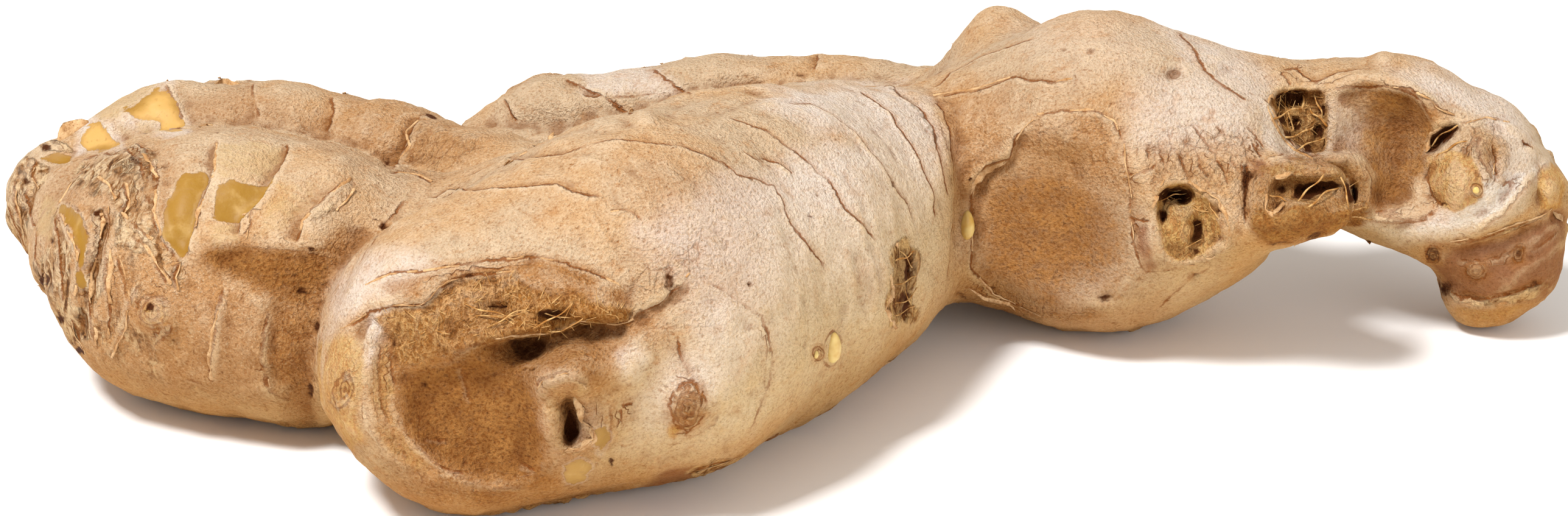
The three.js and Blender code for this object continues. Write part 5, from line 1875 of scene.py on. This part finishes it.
# %% Long strands across the holes
STRANDS = [
    ([2116, 352, 2236, 296], 0.14, 0.6), ([2124, 344, 2222, 322], 0.11, 0.4),
    ([2140, 352, 2240, 330], 0.12, 0.8), ([2130, 330, 2176, 286], 0.11, 0.3),
    ([2160, 334, 2212, 284], 0.1, 0.3), ([2180, 350, 2250, 342], 0.1, 0.9),
    ([2196, 352, 2256, 360], 0.1, 1.0), ([2150, 340, 2200, 306], 0.12, 0.5),
    ([2204, 290, 2216, 344], 0.12, 0.3), ([2086, 320, 2116, 330], 0.1, 0.3),
    ([1906, 330, 1950, 318], 0.08, 0.3), ([1936, 336, 1990, 350], 0.1, 0.4),
    ([1986, 332, 2008, 362], 0.08, 0.3), ([2090, 196, 2148, 176], 0.13, 0.4),
    ([2104, 160, 2126, 216], 0.12, 0.3), ([2140, 156, 2130, 206], 0.14, 0.3),
    ([2112, 226, 2160, 206], 0.13, 0.4), ([2150, 176, 2182, 206], 0.13, 0.4),
    ([2128, 246, 2176, 226], 0.12, 0.3), ([2156, 156, 2172, 198], 0.12, 0.3),
    ([2350, 240, 2396, 206], 0.1, 0.4), ([2360, 258, 2412, 230], 0.12, 0.6),
    ([1470, 430, 1504, 412], 0.09, 0.4), ([1466, 470, 1506, 452], 0.09, 0.4),
    ([1470, 500, 1508, 470], 0.09, 0.5), ([1466, 520, 1504, 500], 0.09, 0.4),
    ([1474, 404, 1500, 440], 0.09, 0.3), ([1480, 460, 1500, 520], 0.09, 0.3),
    ([780, 520, 870, 516], 0.09, 0.4), ([800, 540, 866, 506], 0.08, 0.5), ([870, 540, 940, 500], 0.09, 0.5),
    ([856, 508, 940, 524], 0.08, 0.4), ([760, 500, 846, 524], 0.08, 0.4), ([900, 546, 960, 520], 0.08, 0.5),
]
for ends, radius, lift in STRANDS:
    start, end = pairs(ends)
    (first_place, first_normal), (last_place, last_normal) = skin.at(*start), skin.at(*end)
    normal = unit(first_normal + last_normal)
    heading = unit(last_place - first_place)
    side = unit(np.cross(normal, heading))
    sway = rng.normal(0, 0.25)
    steps = np.linspace(0, 1, 12)[:, None]
    arch = np.sin(math.pi * steps)
    spine = first_place + steps * (last_place - first_place) + (lift * arch - 0.1) * normal
    spine = spine + (sway * arch + 0.12 * np.sin(9 * steps + 20 * sway)) * side
    tube(spine, radius * (0.7 + 0.5 * np.sin(5 * steps[:, 0] + 30 * sway) ** 2), side, normal)

# %% Buds that push through the skin
bud_points, bud_faces = [], []
BUDS = [
    ((1369, 570), (0.95, 2.0, 0.8)), ((1588, 369), (0.8, 1.7, 1.1)), ((2425, 312), (0.4, 0.4, 0.3)),
    ((1341, 582), (0.35, 0.45, 0.2)),
]
RINGS_OF_BUD, SPOKES = 8, 16
for (right, down), (half_wide, half_high, half_deep) in BUDS:
    place, normal = skin.at(right, down)
    above = unit(np.cross(normal, rightward))
    sideways = np.cross(above, normal)
    first = len(bud_points)
    for i in range(RINGS_OF_BUD + 1):
        tilt = math.pi * i / RINGS_OF_BUD
        for k in range(SPOKES):
            turn = 2 * math.pi * k / SPOKES
            narrow = math.sin(tilt) * (1 - 0.18 * math.cos(tilt))
            outward = half_wide * math.cos(turn) * sideways + half_deep * math.sin(turn) * normal
            bud_points.append(place + narrow * outward + half_high * math.cos(tilt) * above)
    for i in range(RINGS_OF_BUD):
        for k in range(SPOKES):
            a, b = first + i * SPOKES + k, first + i * SPOKES + (k + 1) % SPOKES
            bud_faces.append((a, a + SPOKES, b + SPOKES, b))

# %% Their finishes
paper_skin = Material("papery_scale")
paper_blots = paper_skin.noise(1.4, 3.0, 30)
paper_specks = paper_skin.noise(0.3, 2.0, 31)
paper_colour = paper_blots.step(0.35, 0.65).blend(tone(184, 136, 86), tone(222, 182, 134))
paper_colour = (paper_specks.step(0.45, 0.32) * 0.6).blend(paper_colour, tone(140, 88, 44))
paper_roughness = 0.8 - 0.2 * paper_specks
paper_normal = paper_skin.bump(paper_specks, 0.15)
paper_surface = paper_skin.surface(
    {"Specular IOR Level": 0.12},
    {"Base Color": paper_colour, "Roughness": paper_roughness, "Normal": paper_normal}
)
paper_finish = paper_skin.show(paper_surface)

fibre_skin = Material("torn_fibre")
fibre_blots = fibre_skin.noise(1.0, 2.0, 32)
fibre_colour = fibre_blots.step(0.35, 0.65).blend(tone(168, 112, 52), tone(222, 178, 116))
fibre_surface = fibre_skin.surface(
    {"Specular IOR Level": 0.12}, {"Base Color": fibre_colour, "Roughness": 0.75 + 0.1 * fibre_blots}
)
fibre_finish = fibre_skin.show(fibre_surface)

bud_skin = Material("young_bud")
bud_blots = bud_skin.noise(1.5, 2.0, 33)
bud_colour = bud_blots.step(0.3, 0.7).blend(tone(216, 172, 84), tone(236, 206, 128))
BUD_GLOW = {"Subsurface Weight": 0.15, "Subsurface Radius": (1.0, 0.7, 0.3), "Subsurface Scale": 0.001}
bud_roughness = 0.35 + 0.15 * bud_blots
bud_normal = bud_skin.bump(bud_blots, 0.1)
bud_surface = bud_skin.surface(
    {**BUD_GLOW, "Specular IOR Level": 0.5},
    {"Base Color": bud_colour, "Roughness": bud_roughness, "Normal": bud_normal}
)
bud_finish = bud_skin.show(bud_surface)
piece_of("papery_flakes", flake_points, flake_faces, paper_finish)
piece_of("torn_fibres", fibre_points, fibre_faces, fibre_finish)
piece_of("young_buds", bud_points, bud_faces, bud_finish)

# %% [markdown]
# ## Floor and light
# A pale floor and a pale surround, with one large soft light from the upper left front as the key, and a
# weaker one from the right. The key gives the rings and scars their shadows.

# %% Floor, surround and lights
bpy.context.scene.view_settings.view_transform = "Standard"
FLOOR_SIZE = 6.0
bpy.ops.mesh.primitive_plane_add(size=FLOOR_SIZE)
floor = bpy.context.object
floor.name = "floor"
paper = Material("floor_paper")
paper_shade = paper.noise(60.0, 2.0).blend(tone(246, 245, 244, 1), tone(250, 249, 248, 1))
paper_surface = paper.surface({"Specular IOR Level": 0.2}, {"Base Color": paper_shade, "Roughness": 0.9})
floor.data.materials.append(paper.show(paper_surface))

world = bpy.data.worlds.new("surround")
bpy.context.scene.world = world
world.use_nodes = True
surround = world.node_tree.nodes["Background"].inputs
WARM_WHITE = (1.0, 0.95, 0.89, 1)
SURROUND_STRENGTH = 0.62
surround["Color"].default_value = WARM_WHITE
surround["Strength"].default_value = SURROUND_STRENGTH
ROOT_MIDDLE = (0, 0, 0.02)


def soft_light(name, place, size, watts):
    """A square soft light that faces the root, with its place in metres."""
    light = bpy.data.lights.new(name, "AREA")
    light.size = size
    light.energy = watts
    holder = bpy.data.objects.new(name, light)
    holder.location = place
    holder.rotation_euler = (Vector(ROOT_MIDDLE) - Vector(place)).to_track_quat("-Z", "Y").to_euler()
    bpy.context.scene.collection.objects.link(holder)


soft_light("key", (-0.32, -0.30, 0.80), 0.20, 11.4)
soft_light("fill", (0.6, -0.6, 0.35), 0.5, 2.0)
